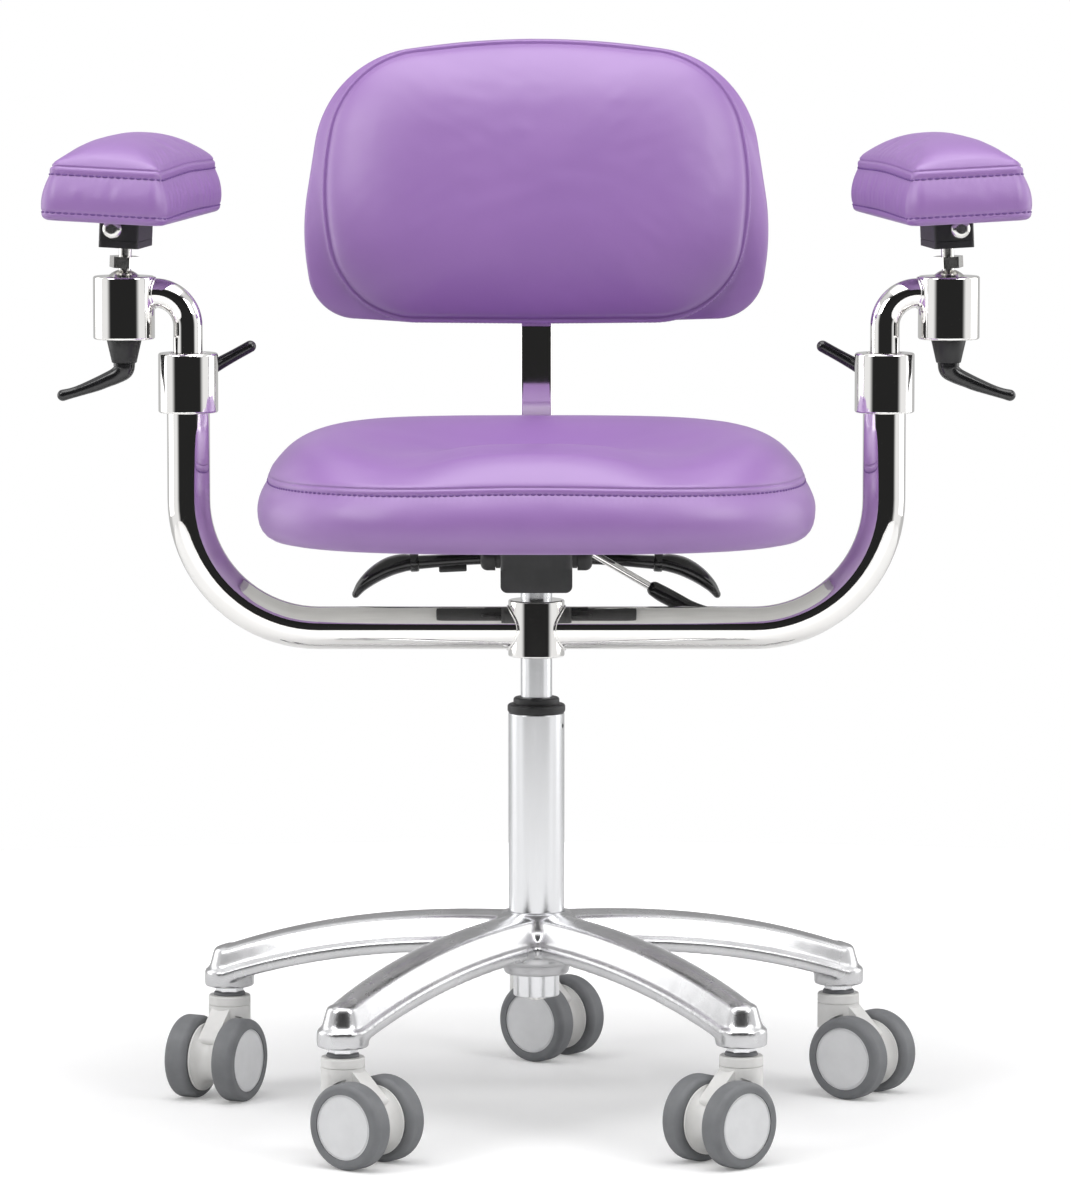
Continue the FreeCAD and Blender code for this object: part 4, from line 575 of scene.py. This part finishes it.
def seat_top(x, y):
    """Height of the seat's top with its bowl and thigh hollows, before its edge is drawn down."""
    rise = REAR_RISE[0] * smoothstep(*REAR_RISE[1:], y) - FRONT_DROP[0] * smoothstep(*FRONT_DROP[1:], y)
    away = (x / BOWL_REACH[0]) ** 2 + ((y - BOWL_PLACE) / BOWL_REACH[1]) ** 2
    bowl = BOWL_DEPTH * np.exp(-away ** BOWL_POWER)
    thighs = np.exp(-((np.abs(x) - THIGH_PLACE) / THIGH_REACH) ** 2) * smoothstep(*THIGH_SPAN, y)
    return SEAT_PLATEAU + rise - bowl - THIGH_DEPTH * thighs


def seat_cover():
    """Seat with a boxing, a creased welt with a stitch row, and a top with pommel, thigh hollows and bowl."""
    low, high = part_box("seat_cushion")
    half = np.array([high.x - low.x, high.y - low.y]) / 2 / MM
    base = low.z / MM
    turns = np.linspace(0, 2 * math.pi, SEAT_TRACE, endpoint=False) - math.pi / 2
    round_way = np.column_stack([np.cos(turns), np.sin(turns)])
    outline = resample(half * np.sign(round_way) * np.abs(round_way) ** (2 / SEAT_POWER), SEAT_COLUMNS)
    normal = outward(outline)
    front = np.clip(-normal[:, 1], 0, 1) ** 2
    rear = np.clip(normal[:, 1], 0, 1) ** 2
    seam = SEAT_SEAM + SEAT_SEAM_FRONT[0] * front * np.exp(-(outline[:, 0] / SEAT_SEAM_FRONT[1]) ** 2)
    seam = seam + SEAT_SEAM_REAR * rear + ripple(SEAT_COLUMNS, SEAT_SEAM_WAVES, 1) * SEAT_SEAM_WAVE
    stitch_turn = stitch_wave(SEAT_COLUMNS, 4)
    soft = ripple(SEAT_COLUMNS, SEAT_SOFT_WAVES, 2)

    def ring(inset, z):
        flat = outline * (1 - np.broadcast_to(inset, SEAT_COLUMNS)[:, None] / half)
        return np.column_stack([flat, base + np.broadcast_to(z, SEAT_COLUMNS)])

    rings = [ring(inset, z) for inset, z in SEAT_UNDERSIDE]
    foot, draw_in, below = SEAT_BOXING
    for share in BOXING_SHARES:
        pucker = smoothstep(*PUCKER_SPAN, share) * (SEAT_PUCKER * stitch_turn + SEAT_UNEVEN * soft)
        wave = math.sin(math.pi * share) * SEAT_BOXING_WAVE * soft
        inset = draw_in * share ** SEAT_DRAW_POWER - pucker - wave
        rings.append(ring(inset, foot + (seam - below - foot) * share))
    stitches = len(rings)
    rings.append(ring(SEAT_STITCHES[0] - STITCH_PUCKER * stitch_turn, seam + SEAT_STITCHES[1]))
    rings += [ring(inset, seam + rise) for inset, rise in SEAT_WELT]
    edge_start, edge_width, front_less, rear_less = SEAT_EDGE
    width = edge_width - front_less * front - rear_less * rear
    foot = seam + SEAT_EDGE_RISE
    for inset in np.concatenate([np.linspace(*span) for span in SEAT_TOP_INSETS]):
        flat = ring(inset, 0)
        ease = 1 - (1 - np.clip((inset - edge_start) / width, 0, 1)) ** SEAT_EDGE_POWER
        top = seat_top(flat[:, 0], flat[:, 1])
        flat[:, 2] += foot + (top - foot) * ease + SEAT_EDGE_WAVE * soft * (1 - ease)
        rings.append(flat)
    held = held_rows(6, stitches, 8)
    rings = plumped(rings, held, pressure=0.6, slack=0.0, bending=20.0, cap=4.0)
    upholstered("seat_cover", rings, [stitches], "seat", "seat_cushion", pitch=5.4, thread=0.9)


# Back cover, in millimetres; depths are in front of the cushion's rear face
BACK_COLUMNS = 1000
BACK_HALF = np.array([213.0, 129.5])  # half width and half height of the outlines below
BACK_OUTLINE = [(0, -130.3, 2500), (203.8, -124.3, 45), (216, -44, 223), (192.1, 110.8, 102), (0, 137.5, 766)]
BACK_SEAM = [(0, -129.0, 2500), (177, -127.6, 84), (200, -10, 250), (177, 111, 92), (0, 130.5, 700)]
BACK_REAR = ((60, 1.2), (18, 1.0), (13, 0.2), (9, 0.4), (5.5, 1.6), (2.8, 3.6), (1.0, 6.2), (0.2, 8.8),
             (0, 11))  # inset and depth
BACK_BOXING = (11, 11.5, -1.8)  # its rear edge, its width and the inset at its front
BACK_BOXING_POWER = 1.5
BACK_PUCKER = 0.1
BACK_BOXING_WAVE = 0.1
BACK_SOFT_WAVES = range(8, 40, 3)
BACK_STITCHES = (-1.3, 23.3)
BACK_WELT = ((-1.6, 24.0), (-1.6, 25.0), (-1.2, 25.8), (-0.3, 26.3), (1.0, 26.2), (2.2, 25.6), (3.0, 25.8))
PANEL_SHARES = ((0.988, 0.8, 22), (0.78, 0.03, 26))  # first and last share of the panel, number of rings
PILLOW_DEPTH = 32.5
PILLOW_SHOULDER = 0.4  # share of the way to the middle over which the front panel turns up from its seam
PILLOW_REACH = 0.95  # and over which it goes on rising
SHOULDER_SHARE = 0.6  # of the pillow's depth that the shoulder makes
LUMBAR_DEPTH = 4.0
HOLLOW_DEPTH = 2.5
PANEL_WAVE = 0.12  # at the seam
PANEL_WAVE_POWER = 4


def lean_frame():
    """Matrix from the back's own directions (across, up, forward) to the frame, by its slide's axis."""
    up = np.array(joints["back_height"]["axis"], float)
    forward = np.array([0, -up[2], up[1]])
    return np.column_stack([[1.0, 0, 0], up, forward])


def back_cover():
    """Back with a boxing that widens towards the rear at its sides, a welt and a domed front panel."""
    turn = lean_frame()
    points = places(nodes["back_cushion"].data) @ turn
    low, high = points.min(0), points.max(0)
    centre = (low + high) / 2
    half = (high - low)[:2] / 2

    def symmetric(right):
        corners = right + [(-x, height, radius) for x, height, radius in reversed(right[1:-1])]
        return rounded_outline(corners, BACK_COLUMNS) * half / BACK_HALF

    outline = symmetric(BACK_OUTLINE)
    seam = symmetric(BACK_SEAM)
    normal = outward(outline)
    stitch_turn = stitch_wave(BACK_COLUMNS, 4)
    soft = ripple(BACK_COLUMNS, BACK_SOFT_WAVES, 5)

    def place(flat, depth):
        depths = low[2] + np.broadcast_to(depth, BACK_COLUMNS)
        return np.column_stack([flat + centre[:2], depths]) @ turn.T

    def ring(inset, depth, blend=0.0):
        flat = outline + (seam - outline) * blend - normal * np.broadcast_to(inset, BACK_COLUMNS)[:, None]
        return place(flat, depth)

    rings = [ring(inset, depth) for inset, depth in BACK_REAR]
    edge, width, swell = BACK_BOXING
    for share in BOXING_SHARES:
        pucker = smoothstep(*PUCKER_SPAN, share) * BACK_PUCKER * stitch_turn
        wave = math.sin(math.pi * share) * BACK_BOXING_WAVE * soft
        blend = share ** BACK_BOXING_POWER
        rings.append(ring(swell * blend - pucker - wave, edge + width * share, blend))
    stitches = len(rings)
    rings += [ring(inset, depth, 1.0) for inset, depth in (BACK_STITCHES, *BACK_WELT)]
    rim_inset, rim_depth = BACK_WELT[-1]
    panel = seam - normal * rim_inset
    for share in np.concatenate([np.linspace(*span) for span in PANEL_SHARES]):
        flat = panel * share
        shoulder = math.sqrt(1 - (1 - min((1 - share) / PILLOW_SHOULDER, 1)) ** 2)
        dome = math.sin(math.pi / 2 * min((1 - share) / PILLOW_REACH, 1))
        pillow = SHOULDER_SHARE * shoulder + (1 - SHOULDER_SHARE) * dome
        hollow, lumbar = (1 - (flat / half) ** 2).T
        depth = rim_depth + (PILLOW_DEPTH + LUMBAR_DEPTH * lumbar - HOLLOW_DEPTH * hollow) * pillow
        rings.append(place(flat, depth + PANEL_WAVE * soft * share ** PANEL_WAVE_POWER))
    held = held_rows(5, stitches, 8)
    rings = plumped(rings, held, pressure=5.0, slack=0.0, bending=40.0, cap=5.0)
    upholstered("back_cover", rings, [stitches], "back", "back_cushion", pitch=4.2, thread=0.33)


# Pad covers, in millimetres; heights are over the pad's base
PAD_COLUMNS = 720
PAD_CORNER = 17.0
PAD_UNDERSIDE = ((30, 1.0), (12, 0.8), (8, 0.2), (5.5, 0.3), (3.4, 1.2), (1.9, 2.8), (1.2, 4.6), (1.3, 6.2))
PAD_LOWER_STITCHES = (2.0, 7.4)  # inset and height
PAD_SEAM = 47.0
PAD_BOXING = (8.0, 7.5)  # its lower edge and how far it ends below the seam
PAD_DRAW_IN = (1.2, 6.0)  # inset at the boxing's lower edge, and how much more at its upper edge
PAD_DRAW_POWER = 1.6
PAD_BOXING_SHARES = np.linspace(0.04, 0.98, 22)
PAD_SWELL = 1.6
PAD_SWELL_POWER = 0.7
PAD_FOLD_WAVES = range(14, 60, 3)
PAD_FOLD_SHARES = (0.25, 0.75)  # all round, and more on the long sides
PAD_FOLD_DEPTHS = (0.3, 0.2)  # of the boxing and of the top's edge
PAD_PUCKERS = ((0.86, 1.0, 0.14), (0.12, 0.0, 0.1))  # shares of the boxing over which they come, and depth
PAD_UPPER_STITCHES = (7.6, -6.6)  # inset and height over the seam
PAD_WELT = ((7.2, -5.6), (7.1, -4.2), (7.1, -2.6), (7.4, -1.4), (8.0, -0.6), (9.0, -0.1), (9.3, 0.5),
            (8.9, 1.3), (9.2, 2.2))
PAD_TOP_SHARES = ((0.975, 0.8, 14), (0.77, 0.04, 22))
PAD_CROWN = 21.5
PAD_CROWN_SHAPE = ((2.5, 0.66), (3.0, 0.52))  # powers of its fall, across and along
PAD_EDGE_SPAN = (0.55, 1.0)  # share of the way from the middle over which droop and folds come
PAD_DROOP = 2.2  # rise of the long sides' seams in the middle and fall at the ends
PAD_DROOP_SHARES = (0.4, 0.5)  # of it that the lower stitch row and the seam have
FOLD_SEEDS = {"left": 11, "right": 12}


def pad_frame(side):
    """Matrix from a pad's own directions (across, along, up) to the frame, by the axes of its ball."""
    up = np.array(joints["pad_swivel_" + side]["axis"], float) * SIDES[side]
    right = np.array(joints["ball_tilt_" + side]["axis"], float)
    right = right * np.sign(right[0])
    right = right - up * (right @ up)
    right = right / np.linalg.norm(right)
    return np.column_stack([right, np.cross(up, right), up])


def pad_cover(side):
    """Arm pad with two stitch rows, a welt, soft folds on its long sides and a crowned top."""
    turn = pad_frame(side)
    points = places(nodes["arm_pad_" + side].data) @ turn
    low, high = points.min(0), points.max(0)
    centre = (low + high) / 2
    half_x, half_y = (high - low)[:2] / 2
    corners = ((-half_x, -half_y), (half_x, -half_y), (half_x, half_y), (-half_x, half_y))
    outline = rounded_outline([(*corner, PAD_CORNER) for corner in corners], PAD_COLUMNS)
    normal = outward(outline)
    long_side = np.abs(normal[:, 0]) ** 4
    stitch_turn = stitch_wave(PAD_COLUMNS, 6)
    folds = ripple(PAD_COLUMNS, PAD_FOLD_WAVES, FOLD_SEEDS[side])
    folds = folds * (PAD_FOLD_SHARES[0] + PAD_FOLD_SHARES[1] * long_side)
    droop = PAD_DROOP * long_side * np.cos(math.pi * np.clip(outline[:, 1] / half_y, -1, 1))

    def place(flat, z):
        return np.column_stack([flat + centre[:2], low[2] + np.broadcast_to(z, PAD_COLUMNS)]) @ turn.T

    def ring(inset, z):
        return place(outline - normal * np.broadcast_to(inset, PAD_COLUMNS)[:, None], z)

    rings = [ring(inset, z) for inset, z in PAD_UNDERSIDE]
    lower = len(rings)
    pucker = STITCH_PUCKER * stitch_turn
    lower_droop, seam_droop = (share * droop for share in PAD_DROOP_SHARES)
    rings.append(ring(PAD_LOWER_STITCHES[0] - pucker, PAD_LOWER_STITCHES[1] + lower_droop))
    seam = PAD_SEAM + seam_droop
    foot, below = PAD_BOXING
    for share in PAD_BOXING_SHARES:
        tuck = sum(smoothstep(start, end, share) * depth for start, end, depth in PAD_PUCKERS) * stitch_turn
        swell = PAD_SWELL * math.sin(math.pi * share) ** PAD_SWELL_POWER
        fold = math.sin(math.pi * share) * PAD_FOLD_DEPTHS[0] * folds
        inset = PAD_DRAW_IN[0] + PAD_DRAW_IN[1] * share ** PAD_DRAW_POWER - swell - tuck - fold
        rings.append(ring(inset, foot + (seam - below - foot) * share))
    upper = len(rings)
    rings.append(ring(PAD_UPPER_STITCHES[0] - pucker, seam + PAD_UPPER_STITCHES[1]))
    rings += [ring(inset, seam + rise) for inset, rise in PAD_WELT]
    rim_inset, rim_rise = PAD_WELT[-1]
    inner = outline - normal * rim_inset
    reach = np.abs(inner).max(0)
    for share in np.concatenate([np.linspace(*span) for span in PAD_TOP_SHARES]):
        flat = inner * share
        crown = 1.0
        for away, (fall, ease) in zip(np.abs(flat / reach).T, PAD_CROWN_SHAPE):
            crown = crown * np.clip(1 - away ** fall, 0, 1) ** ease
        edge = (seam_droop + PAD_FOLD_DEPTHS[1] * folds) * smoothstep(*PAD_EDGE_SPAN, share)
        rings.append(place(flat, PAD_SEAM + rim_rise + PAD_CROWN * crown + edge))
    held = held_rows(lower + 1, upper, 10)
    rings = plumped(rings, held, pressure=7.0, slack=0.006, bending=15.0, cap=4.0)
    upholstered("pad_cover_" + side, rings, [lower, upper], "pad_" + side, "arm_pad_" + side,
                pitch=6.0, thread=0.9)


# Levers and grips, in millimetres from each lever's pivot; radii are across and thick
ALONG_X = (1, 0, 0)
ALONG_Y = (0, 1, 0)
ALONG_Z = (0, 0, 1)
PADDLE_STEM = [(-3, 0, 0.2), (30, 0, -1.8), (67, 0, -4.2)]
PADDLE_STEM_RADII = [(5, 5.6), (5, 5.2), (6.2, 6.2)]
PADDLE_RING = [(7.6, -0.5), (8.4, 0.4), (8.5, 3.5), (8.4, 6.6), (7.4, 7.4)]  # radius, distance along its axis
PADDLE_RING_PLACE = (66, 0, -4)
PADDLE_RING_SLOPE = -0.06
PADDLE_HANDLE = [(71, 0, -4.4), (80, 0, -4.8), (92, 0, -8), (105, 0, -15.2), (116, 0, -24.5), (122, 0, -32.6)]
PADDLE_HANDLE_RADII = [(7.5, 6.8), (10.5, 8.0), (13.5, 8.4), (14.0, 7.4), (12.0, 5.4), (8.0, 3.4)]
TILT_TAB = [(24, 0, -8), (35, 0, -8.5), (46, 0, -9)]
TILT_TAB_RADII = [(1.5, 4.2), (1.5, 4.2), (1.5, 4.2)]
RECLINE_SLOPE_DEG = 30.4
RECLINE_ROD_LENGTH = 80
RECLINE_ROD_RADIUS = 3.4
STRAIGHT_STATIONS = 8
RECLINE_ROOT = 76  # of the grip along the rod
RECLINE_SLEEVE = 9  # straight start of the grip
RECLINE_GRIP = [(20, 0, -11), (31, 0, -16.4), (42, 0, -19.6), (52, 0, -20.8)]  # from its root
RECLINE_GRIP_RADII = [(6.6, 6.8), (7.2, 7.4), (7.4, 7.2), (7.8, 6.6), (7.6, 5.6), (6.0, 4.0)]
SLEEVE_CONE = [(10.4, -21.0), (11.0, -20.6), (15.3, -1.6), (15.2, -0.7), (13, -0.4)]
SLEEVE_HANDLE = [(0, 0, -16), (0, 0, -22), (1, 0, -27.5), (7.3, 0, -32.4), (16.2, 0, -36.5), (25, 0, -40.3),
                 (38.3, 0, -45.2), (47.1, 0, -48.0), (54.6, 0, -49.9)]
SLEEVE_HANDLE_RADII = [(9.6, 9.6), (9.6, 9.6), (9.3, 9.0), (8.0, 7.4), (7.2, 6.6), (6.7, 6.1), (6.0, 5.0),
                       (6.0, 4.7), (5.8, 5.1)]
COLLAR_BOSS = [(10.6, 0.6), (10.8, 1.2), (9.6, 8), (9.4, 18), (8.4, 20.5), (5, 21.3)]
COLLAR_HANDLE_RISE_DEG = 29
COLLAR_HANDLE_BACK = 12  # of the handle's root behind the pivot
COLLAR_HANDLE_LENGTH = 61
HANDLE_STATIONS = 30
COLLAR_HANDLE_RADII = [(8.2, 8.0), (7.0, 6.8), (6.0, 5.8), (5.6, 5.3), (5.5, 5.3)]


def moulded(points, radii, stations, sides, power):
    """Smooth bar in an upright plane through points, with a radius pair for each of them."""
    return swept(smooth_path(points, stations), smooth_path(radii, stations), ALONG_Y, sides, power)


def paddle(name, side):
    """Curved hand lever under the seat with its ring, and a tab on the tilt lever."""
    pivot = pivot_of(name)
    ring_place = placed(pivot, [PADDLE_RING_PLACE], side)[0]
    parts = [
        moulded(placed(pivot, PADDLE_STEM, side), PADDLE_STEM_RADII, stations=16, sides=32, power=2.6),
        turned(PADDLE_RING, ring_place, (side, 0, PADDLE_RING_SLOPE)),
        moulded(placed(pivot, PADDLE_HANDLE, side), PADDLE_HANDLE_RADII, stations=40, sides=40, power=2.7),
    ]
    if name == "tilt_lever":
        tab = moulded(placed(pivot, TILT_TAB, side), TILT_TAB_RADII, stations=6, sides=24, power=8)
        parts.append(tab)
    mesh_piece(name + "_grip", *joined_parts(parts), GLOSS, name, "gloss_black", [name])


def recline_lever():
    """Bright rod with a moulded grip whose end flares."""
    pivot = pivot_of("back_lever")
    slope = math.radians(RECLINE_SLOPE_DEG)
    way = np.array([math.cos(slope), 0, -math.sin(slope)])
    rod = [pivot + way * run for run in np.linspace(0, RECLINE_ROD_LENGTH, STRAIGHT_STATIONS)]
    rod = swept(rod, np.full((len(rod), 2), RECLINE_ROD_RADIUS), ALONG_Y, sides=40)
    mesh_piece("back_lever_rod", *rod, CHROME, "back_lever", "bright_steel")
    root = pivot + way * RECLINE_ROOT
    points = [root, root + way * RECLINE_SLEEVE, *placed(root, RECLINE_GRIP)]
    grip = moulded(points, RECLINE_GRIP_RADII, stations=36, sides=40, power=2.6)
    mesh_piece("back_lever_grip", *grip, GLOSS, "back_lever", "gloss_black", ["back_lever"])


def clamp_under_sleeve(side):
    """Clamp lever with a cone and a curved handle that sweeps outwards."""
    body = "pad_lever_" + side
    pivot = pivot_of(body)
    cone = turned(SLEEVE_CONE, pivot, ALONG_Z)
    mesh_piece("pad_lever_cone_" + side, *cone, BLACK, body, "gloss_black")
    points = placed(pivot, SLEEVE_HANDLE, SIDES[side])
    grip = moulded(points, SLEEVE_HANDLE_RADII, stations=64, sides=40, power=2.5)
    mesh_piece("pad_lever_grip_" + side, *grip, GLOSS, body, "gloss_black", [body])


def clamp_behind_collar(side):
    """Clamp lever behind the collar with a straight handle."""
    body = "collar_lever_" + side
    pivot = pivot_of(body)
    rise = math.radians(COLLAR_HANDLE_RISE_DEG)
    way = np.array([-SIDES[side] * math.cos(rise), 0, math.sin(rise)])
    root = pivot + np.array([0, COLLAR_HANDLE_BACK, 0])
    boss = turned(COLLAR_BOSS, pivot, ALONG_Y)
    handle = [root + way * run for run in np.linspace(0, COLLAR_HANDLE_LENGTH, HANDLE_STATIONS)]
    grip = swept(handle, smooth_path(COLLAR_HANDLE_RADII, len(handle)), ALONG_Y, sides=36, power=2.3)
    mesh_piece("collar_lever_grip_" + side, *joined_parts([boss, grip]), GLOSS, body, "gloss_black", [body])


# Painted shade rings at the castor necks, and welds, in millimetres
CASTORS = ("rear", "rear_left", "front_left", "front_right", "rear_right")
# dark ring of painted shade where a castor's neck meets its stem
NECK_SHADE_RING = [(9.5, -0.2), (14.2, -0.1), (14.4, 0.6), (13.8, 2.6), (12.6, 3.4), (9.5, 3.6)]  # radius, height
WELD_RADIUS = 1.5
WELD_STATIONS = 145
HUB_RADIUS = 25.0
HUB_TUBE_RADIUS = 19.0
HUB_TUBE_HEIGHT = 25.25  # over the arm frame's lowest place
SLEEVE_RADIUS = 27.25
SLEEVE_TUBE_RADIUS = 13.0
SLEEVE_TUBE_DROP = 15.12  # below the elbow's highest place


def neck_shade_ring(corner):
    """Dark ring between a castor's neck and its stem: painted shade where the stem goes into the neck."""
    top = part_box("castor_" + corner + "_body")[1].z
    centre = np.array([*joints["swivel_" + corner]["pos_m"][:2], top]) / MM
    ring = turned(NECK_SHADE_RING, centre, ALONG_Z)
    mesh_piece("neck_shade_ring_" + corner, *ring, TYRE, "castor_" + corner, "tyre_grey")


def weld_bead(name, centre, post, tube, side, body):
    """Bead round a tube where it meets an upright post on one side; post and tube are radii."""
    turns = np.linspace(0, 2 * math.pi, WELD_STATIONS)
    across = tube * np.cos(turns)
    curve = np.column_stack([side * np.sqrt(post ** 2 - across ** 2), across, tube * np.sin(turns)]) + centre
    bead = swept(curve, np.full((WELD_STATIONS, 2), WELD_RADIUS), ALONG_X, sides=14)
    mesh_piece(name, *bead, CHROME, body, "chrome")


def welds():
    """Beads of the arm frame's hub and of the two ball sleeves."""
    hub = np.array([0, 0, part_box("arm_frame")[0].z / MM + HUB_TUBE_HEIGHT])
    for side, sign in SIDES.items():
        weld_bead("hub_weld_" + side, hub, HUB_RADIUS, HUB_TUBE_RADIUS, sign, "post")
        low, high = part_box("elbow_arm_" + side)
        edge = low.x if sign < 0 else high.x
        sleeve = np.array([edge / MM - sign * SLEEVE_RADIUS, 0, high.z / MM - SLEEVE_TUBE_DROP])
        weld_bead("sleeve_weld_" + side, sleeve, SLEEVE_RADIUS, SLEEVE_TUBE_RADIUS, -sign, "elbow_" + side)


seat_cover()
back_cover()
welds()
for corner in CASTORS:
    neck_shade_ring(corner)
for side in SIDES:
    pad_cover(side)
    clamp_under_sleeve(side)
    clamp_behind_collar(side)
paddle("height_lever", 1)
paddle("tilt_lever", -1)
recline_lever()


# Stage, light and camera
FLOOR_RADIUS = 2.5
FLOOR_SIDES = 96
FLOOR_AHEAD = 0.8  # of the floor's middle in front of the chair
FLOOR_LIFT = (0.2, 0.9)  # brightening of the floor to the camera, under the chair and far from it
FLOOR_FADE = (0.35, 1.4)  # distances from the chair over which it rises
MIRRORED_LIFT = (0.05, 0.42)  # brightening of the floor in reflections, beside the chair and far ahead of it
MIRRORED_FADE = (0.3, 1.2)  # distances in front of the chair over which it rises
SKY_LIGHT = 0.2
DARK_FRONT = (0.82, 1.15, 0.02, 0.9)  # half angles from the dark front to the pale sides, and levels
PALE_SIDES = (1.8, 2.2, 1.0, 0.6)  # half angles from the pale sides to the grey behind, and levels
WALL_HEIGHT = (0.14, 0.32, 1.0, 0.8)  # slopes over which the wall darkens upwards, and levels
CEILING = (0.55, 0.8, 0.0, 1.0)  # slopes over which the ceiling comes in, and levels
CAMERA_PLACE = (-0.0008, -5.6923, 1.0561)
CAMERA_DOWN_DEG = 5.973
CAMERA_LENS = 193.1


def lamp(name, place, target, size, power):
    """Soft rectangular light aimed at a point."""
    light = bpy.data.lights.new(name, "AREA")
    light.shape = "RECTANGLE"
    light.size, light.size_y = size
    light.energy = power
    lamp_object = bpy.data.objects.new(name, light)
    lamp_object.location = place
    lamp_object.rotation_euler = (Vector(target) - Vector(place)).to_track_quat("-Z", "Y").to_euler()
    bpy.context.scene.collection.objects.link(lamp_object)


def faded(tree, value, start, end, low, high):
    """A value's smooth change from low at start to high at end."""
    node = tree.nodes.new("ShaderNodeMapRange")
    node.interpolation_type = "SMOOTHSTEP"
    for socket, setting in zip(("From Min", "From Max", "To Min", "To Max"), (start, end, low, high)):
        node.inputs[socket].default_value = setting
    tree.links.new(value, node.inputs["Value"])
    return node.outputs["Result"]


def reckoned(tree, operation, first, second=None):
    """Result of a math node on values or sockets."""
    node = tree.nodes.new("ShaderNodeMath")
    node.operation = operation
    for index, value in enumerate((first, second)):
        if isinstance(value, (int, float)):
            node.inputs[index].default_value = value
        elif value is not None:
            tree.links.new(value, node.inputs[index])
    return node.outputs["Value"]


def floor():
    """Round pale floor under the object, white to the camera and in reflections where no shadow lies."""
    turns = np.linspace(0, 2 * math.pi, FLOOR_SIDES, endpoint=False)
    rim = [(FLOOR_RADIUS * math.cos(a), FLOOR_RADIUS * math.sin(a) - FLOOR_AHEAD, 0) for a in turns]
    mesh = bpy.data.meshes.new("floor")
    mesh.from_pydata(rim, [], [tuple(range(FLOOR_SIDES))])
    material, tree, principled, coordinates = shader("floor_white")
    tone = ramp(tree, noise(tree, coordinates, 0.6).outputs["Fac"], (0.82, 0.82, 0.82), (0.84, 0.84, 0.84))
    tree.links.new(tone.outputs["Color"], principled.inputs["Base Color"])
    principled.inputs["Roughness"].default_value = 0.6
    principled.inputs["Specular IOR Level"].default_value = 0.1
    principled.inputs["Emission Color"].default_value = (1, 1, 1, 1)
    path = tree.nodes.new("ShaderNodeLightPath")
    away = tree.nodes.new("ShaderNodeVectorMath")
    away.operation = "LENGTH"
    ahead = tree.nodes.new("ShaderNodeVectorMath")
    ahead.operation = "DOT_PRODUCT"
    ahead.inputs[1].default_value = (0, -1, 0)
    for distance in (away, ahead):
        tree.links.new(coordinates.outputs["Object"], distance.inputs[0])
    seen = faded(tree, away.outputs["Value"], *FLOOR_FADE, *FLOOR_LIFT)
    mirrored = faded(tree, ahead.outputs["Value"], *MIRRORED_FADE, *MIRRORED_LIFT)
    seen = reckoned(tree, "MULTIPLY", path.outputs["Is Camera Ray"], seen)
    mirrored = reckoned(tree, "MULTIPLY", path.outputs["Is Glossy Ray"], mirrored)
    tree.links.new(reckoned(tree, "ADD", seen, mirrored), principled.inputs["Emission Strength"])
    mesh.materials.append(material)
    plane = bpy.data.objects.new("floor", mesh)
    bpy.context.scene.collection.objects.link(plane)


def studio_sky():
    """Even white light all round; reflections see it with a dark sector straight in front of the chair."""
    world = bpy.data.worlds.new("studio")
    bpy.context.scene.world = world
    world.use_nodes = True
    tree = world.node_tree
    tree.nodes.clear()
    output = tree.nodes.new("ShaderNodeOutputWorld")
    coordinates = tree.nodes.new("ShaderNodeTexCoord")
    split = tree.nodes.new("ShaderNodeSeparateXYZ")
    tree.links.new(coordinates.outputs["Generated"], split.inputs["Vector"])
    front = reckoned(tree, "MULTIPLY", split.outputs["Y"], -1.0)
    azimuth = reckoned(tree, "ABSOLUTE", reckoned(tree, "ARCTAN2", split.outputs["X"], front))
    wall = reckoned(tree, "MULTIPLY", faded(tree, azimuth, *DARK_FRONT), faded(tree, azimuth, *PALE_SIDES))
    wall = reckoned(tree, "MULTIPLY", wall, faded(tree, split.outputs["Z"], *WALL_HEIGHT))
    level = reckoned(tree, "MAXIMUM", wall, faded(tree, split.outputs["Z"], *CEILING))
    path = tree.nodes.new("ShaderNodeLightPath")
    mirror = reckoned(tree, "MAXIMUM", path.outputs["Is Glossy Ray"], path.outputs["Is Transmission Ray"])
    plain = reckoned(tree, "MULTIPLY", reckoned(tree, "SUBTRACT", 1.0, mirror), SKY_LIGHT)
    lit = reckoned(tree, "ADD", plain, reckoned(tree, "MULTIPLY", level, mirror))
    surround = tree.nodes.new("ShaderNodeBackground")
    surround.inputs["Color"].default_value = (1, 1, 1, 1)
    strength = reckoned(tree, "MAXIMUM", path.outputs["Is Camera Ray"], lit)
    tree.links.new(strength, surround.inputs["Strength"])
    tree.links.new(surround.outputs["Background"], output.inputs["Surface"])


def camera():
    """Camera at the photo's place."""
    data = bpy.data.cameras.new("camera")
    data.lens = CAMERA_LENS
    data.sensor_width = 36.0
    data.clip_end = 100.0
    place = bpy.data.objects.new("camera", data)
    place.location = CAMERA_PLACE
    place.rotation_euler = (math.radians(90 - CAMERA_DOWN_DEG), 0, 0)
    bpy.context.scene.collection.objects.link(place)
    bpy.context.scene.camera = place


floor()
studio_sky()
lamp("ceiling_panel", (0, -0.8, 3.0), (0, -0.8, 0), size=(3.0, 2.8), power=70)
for sign in SIDES.values():
    lamp("front_softbox", (2.0 * sign, -1.5, 1.95), (0, 0, 0.8), size=(1.1, 1.2), power=24)
    lamp("side_softbox", (2.3 * sign, 0.7, 1.1), (0, 0, 0.7), size=(1.6, 2.0), power=15)
camera()
bpy.context.scene.view_settings.view_transform = "Standard"
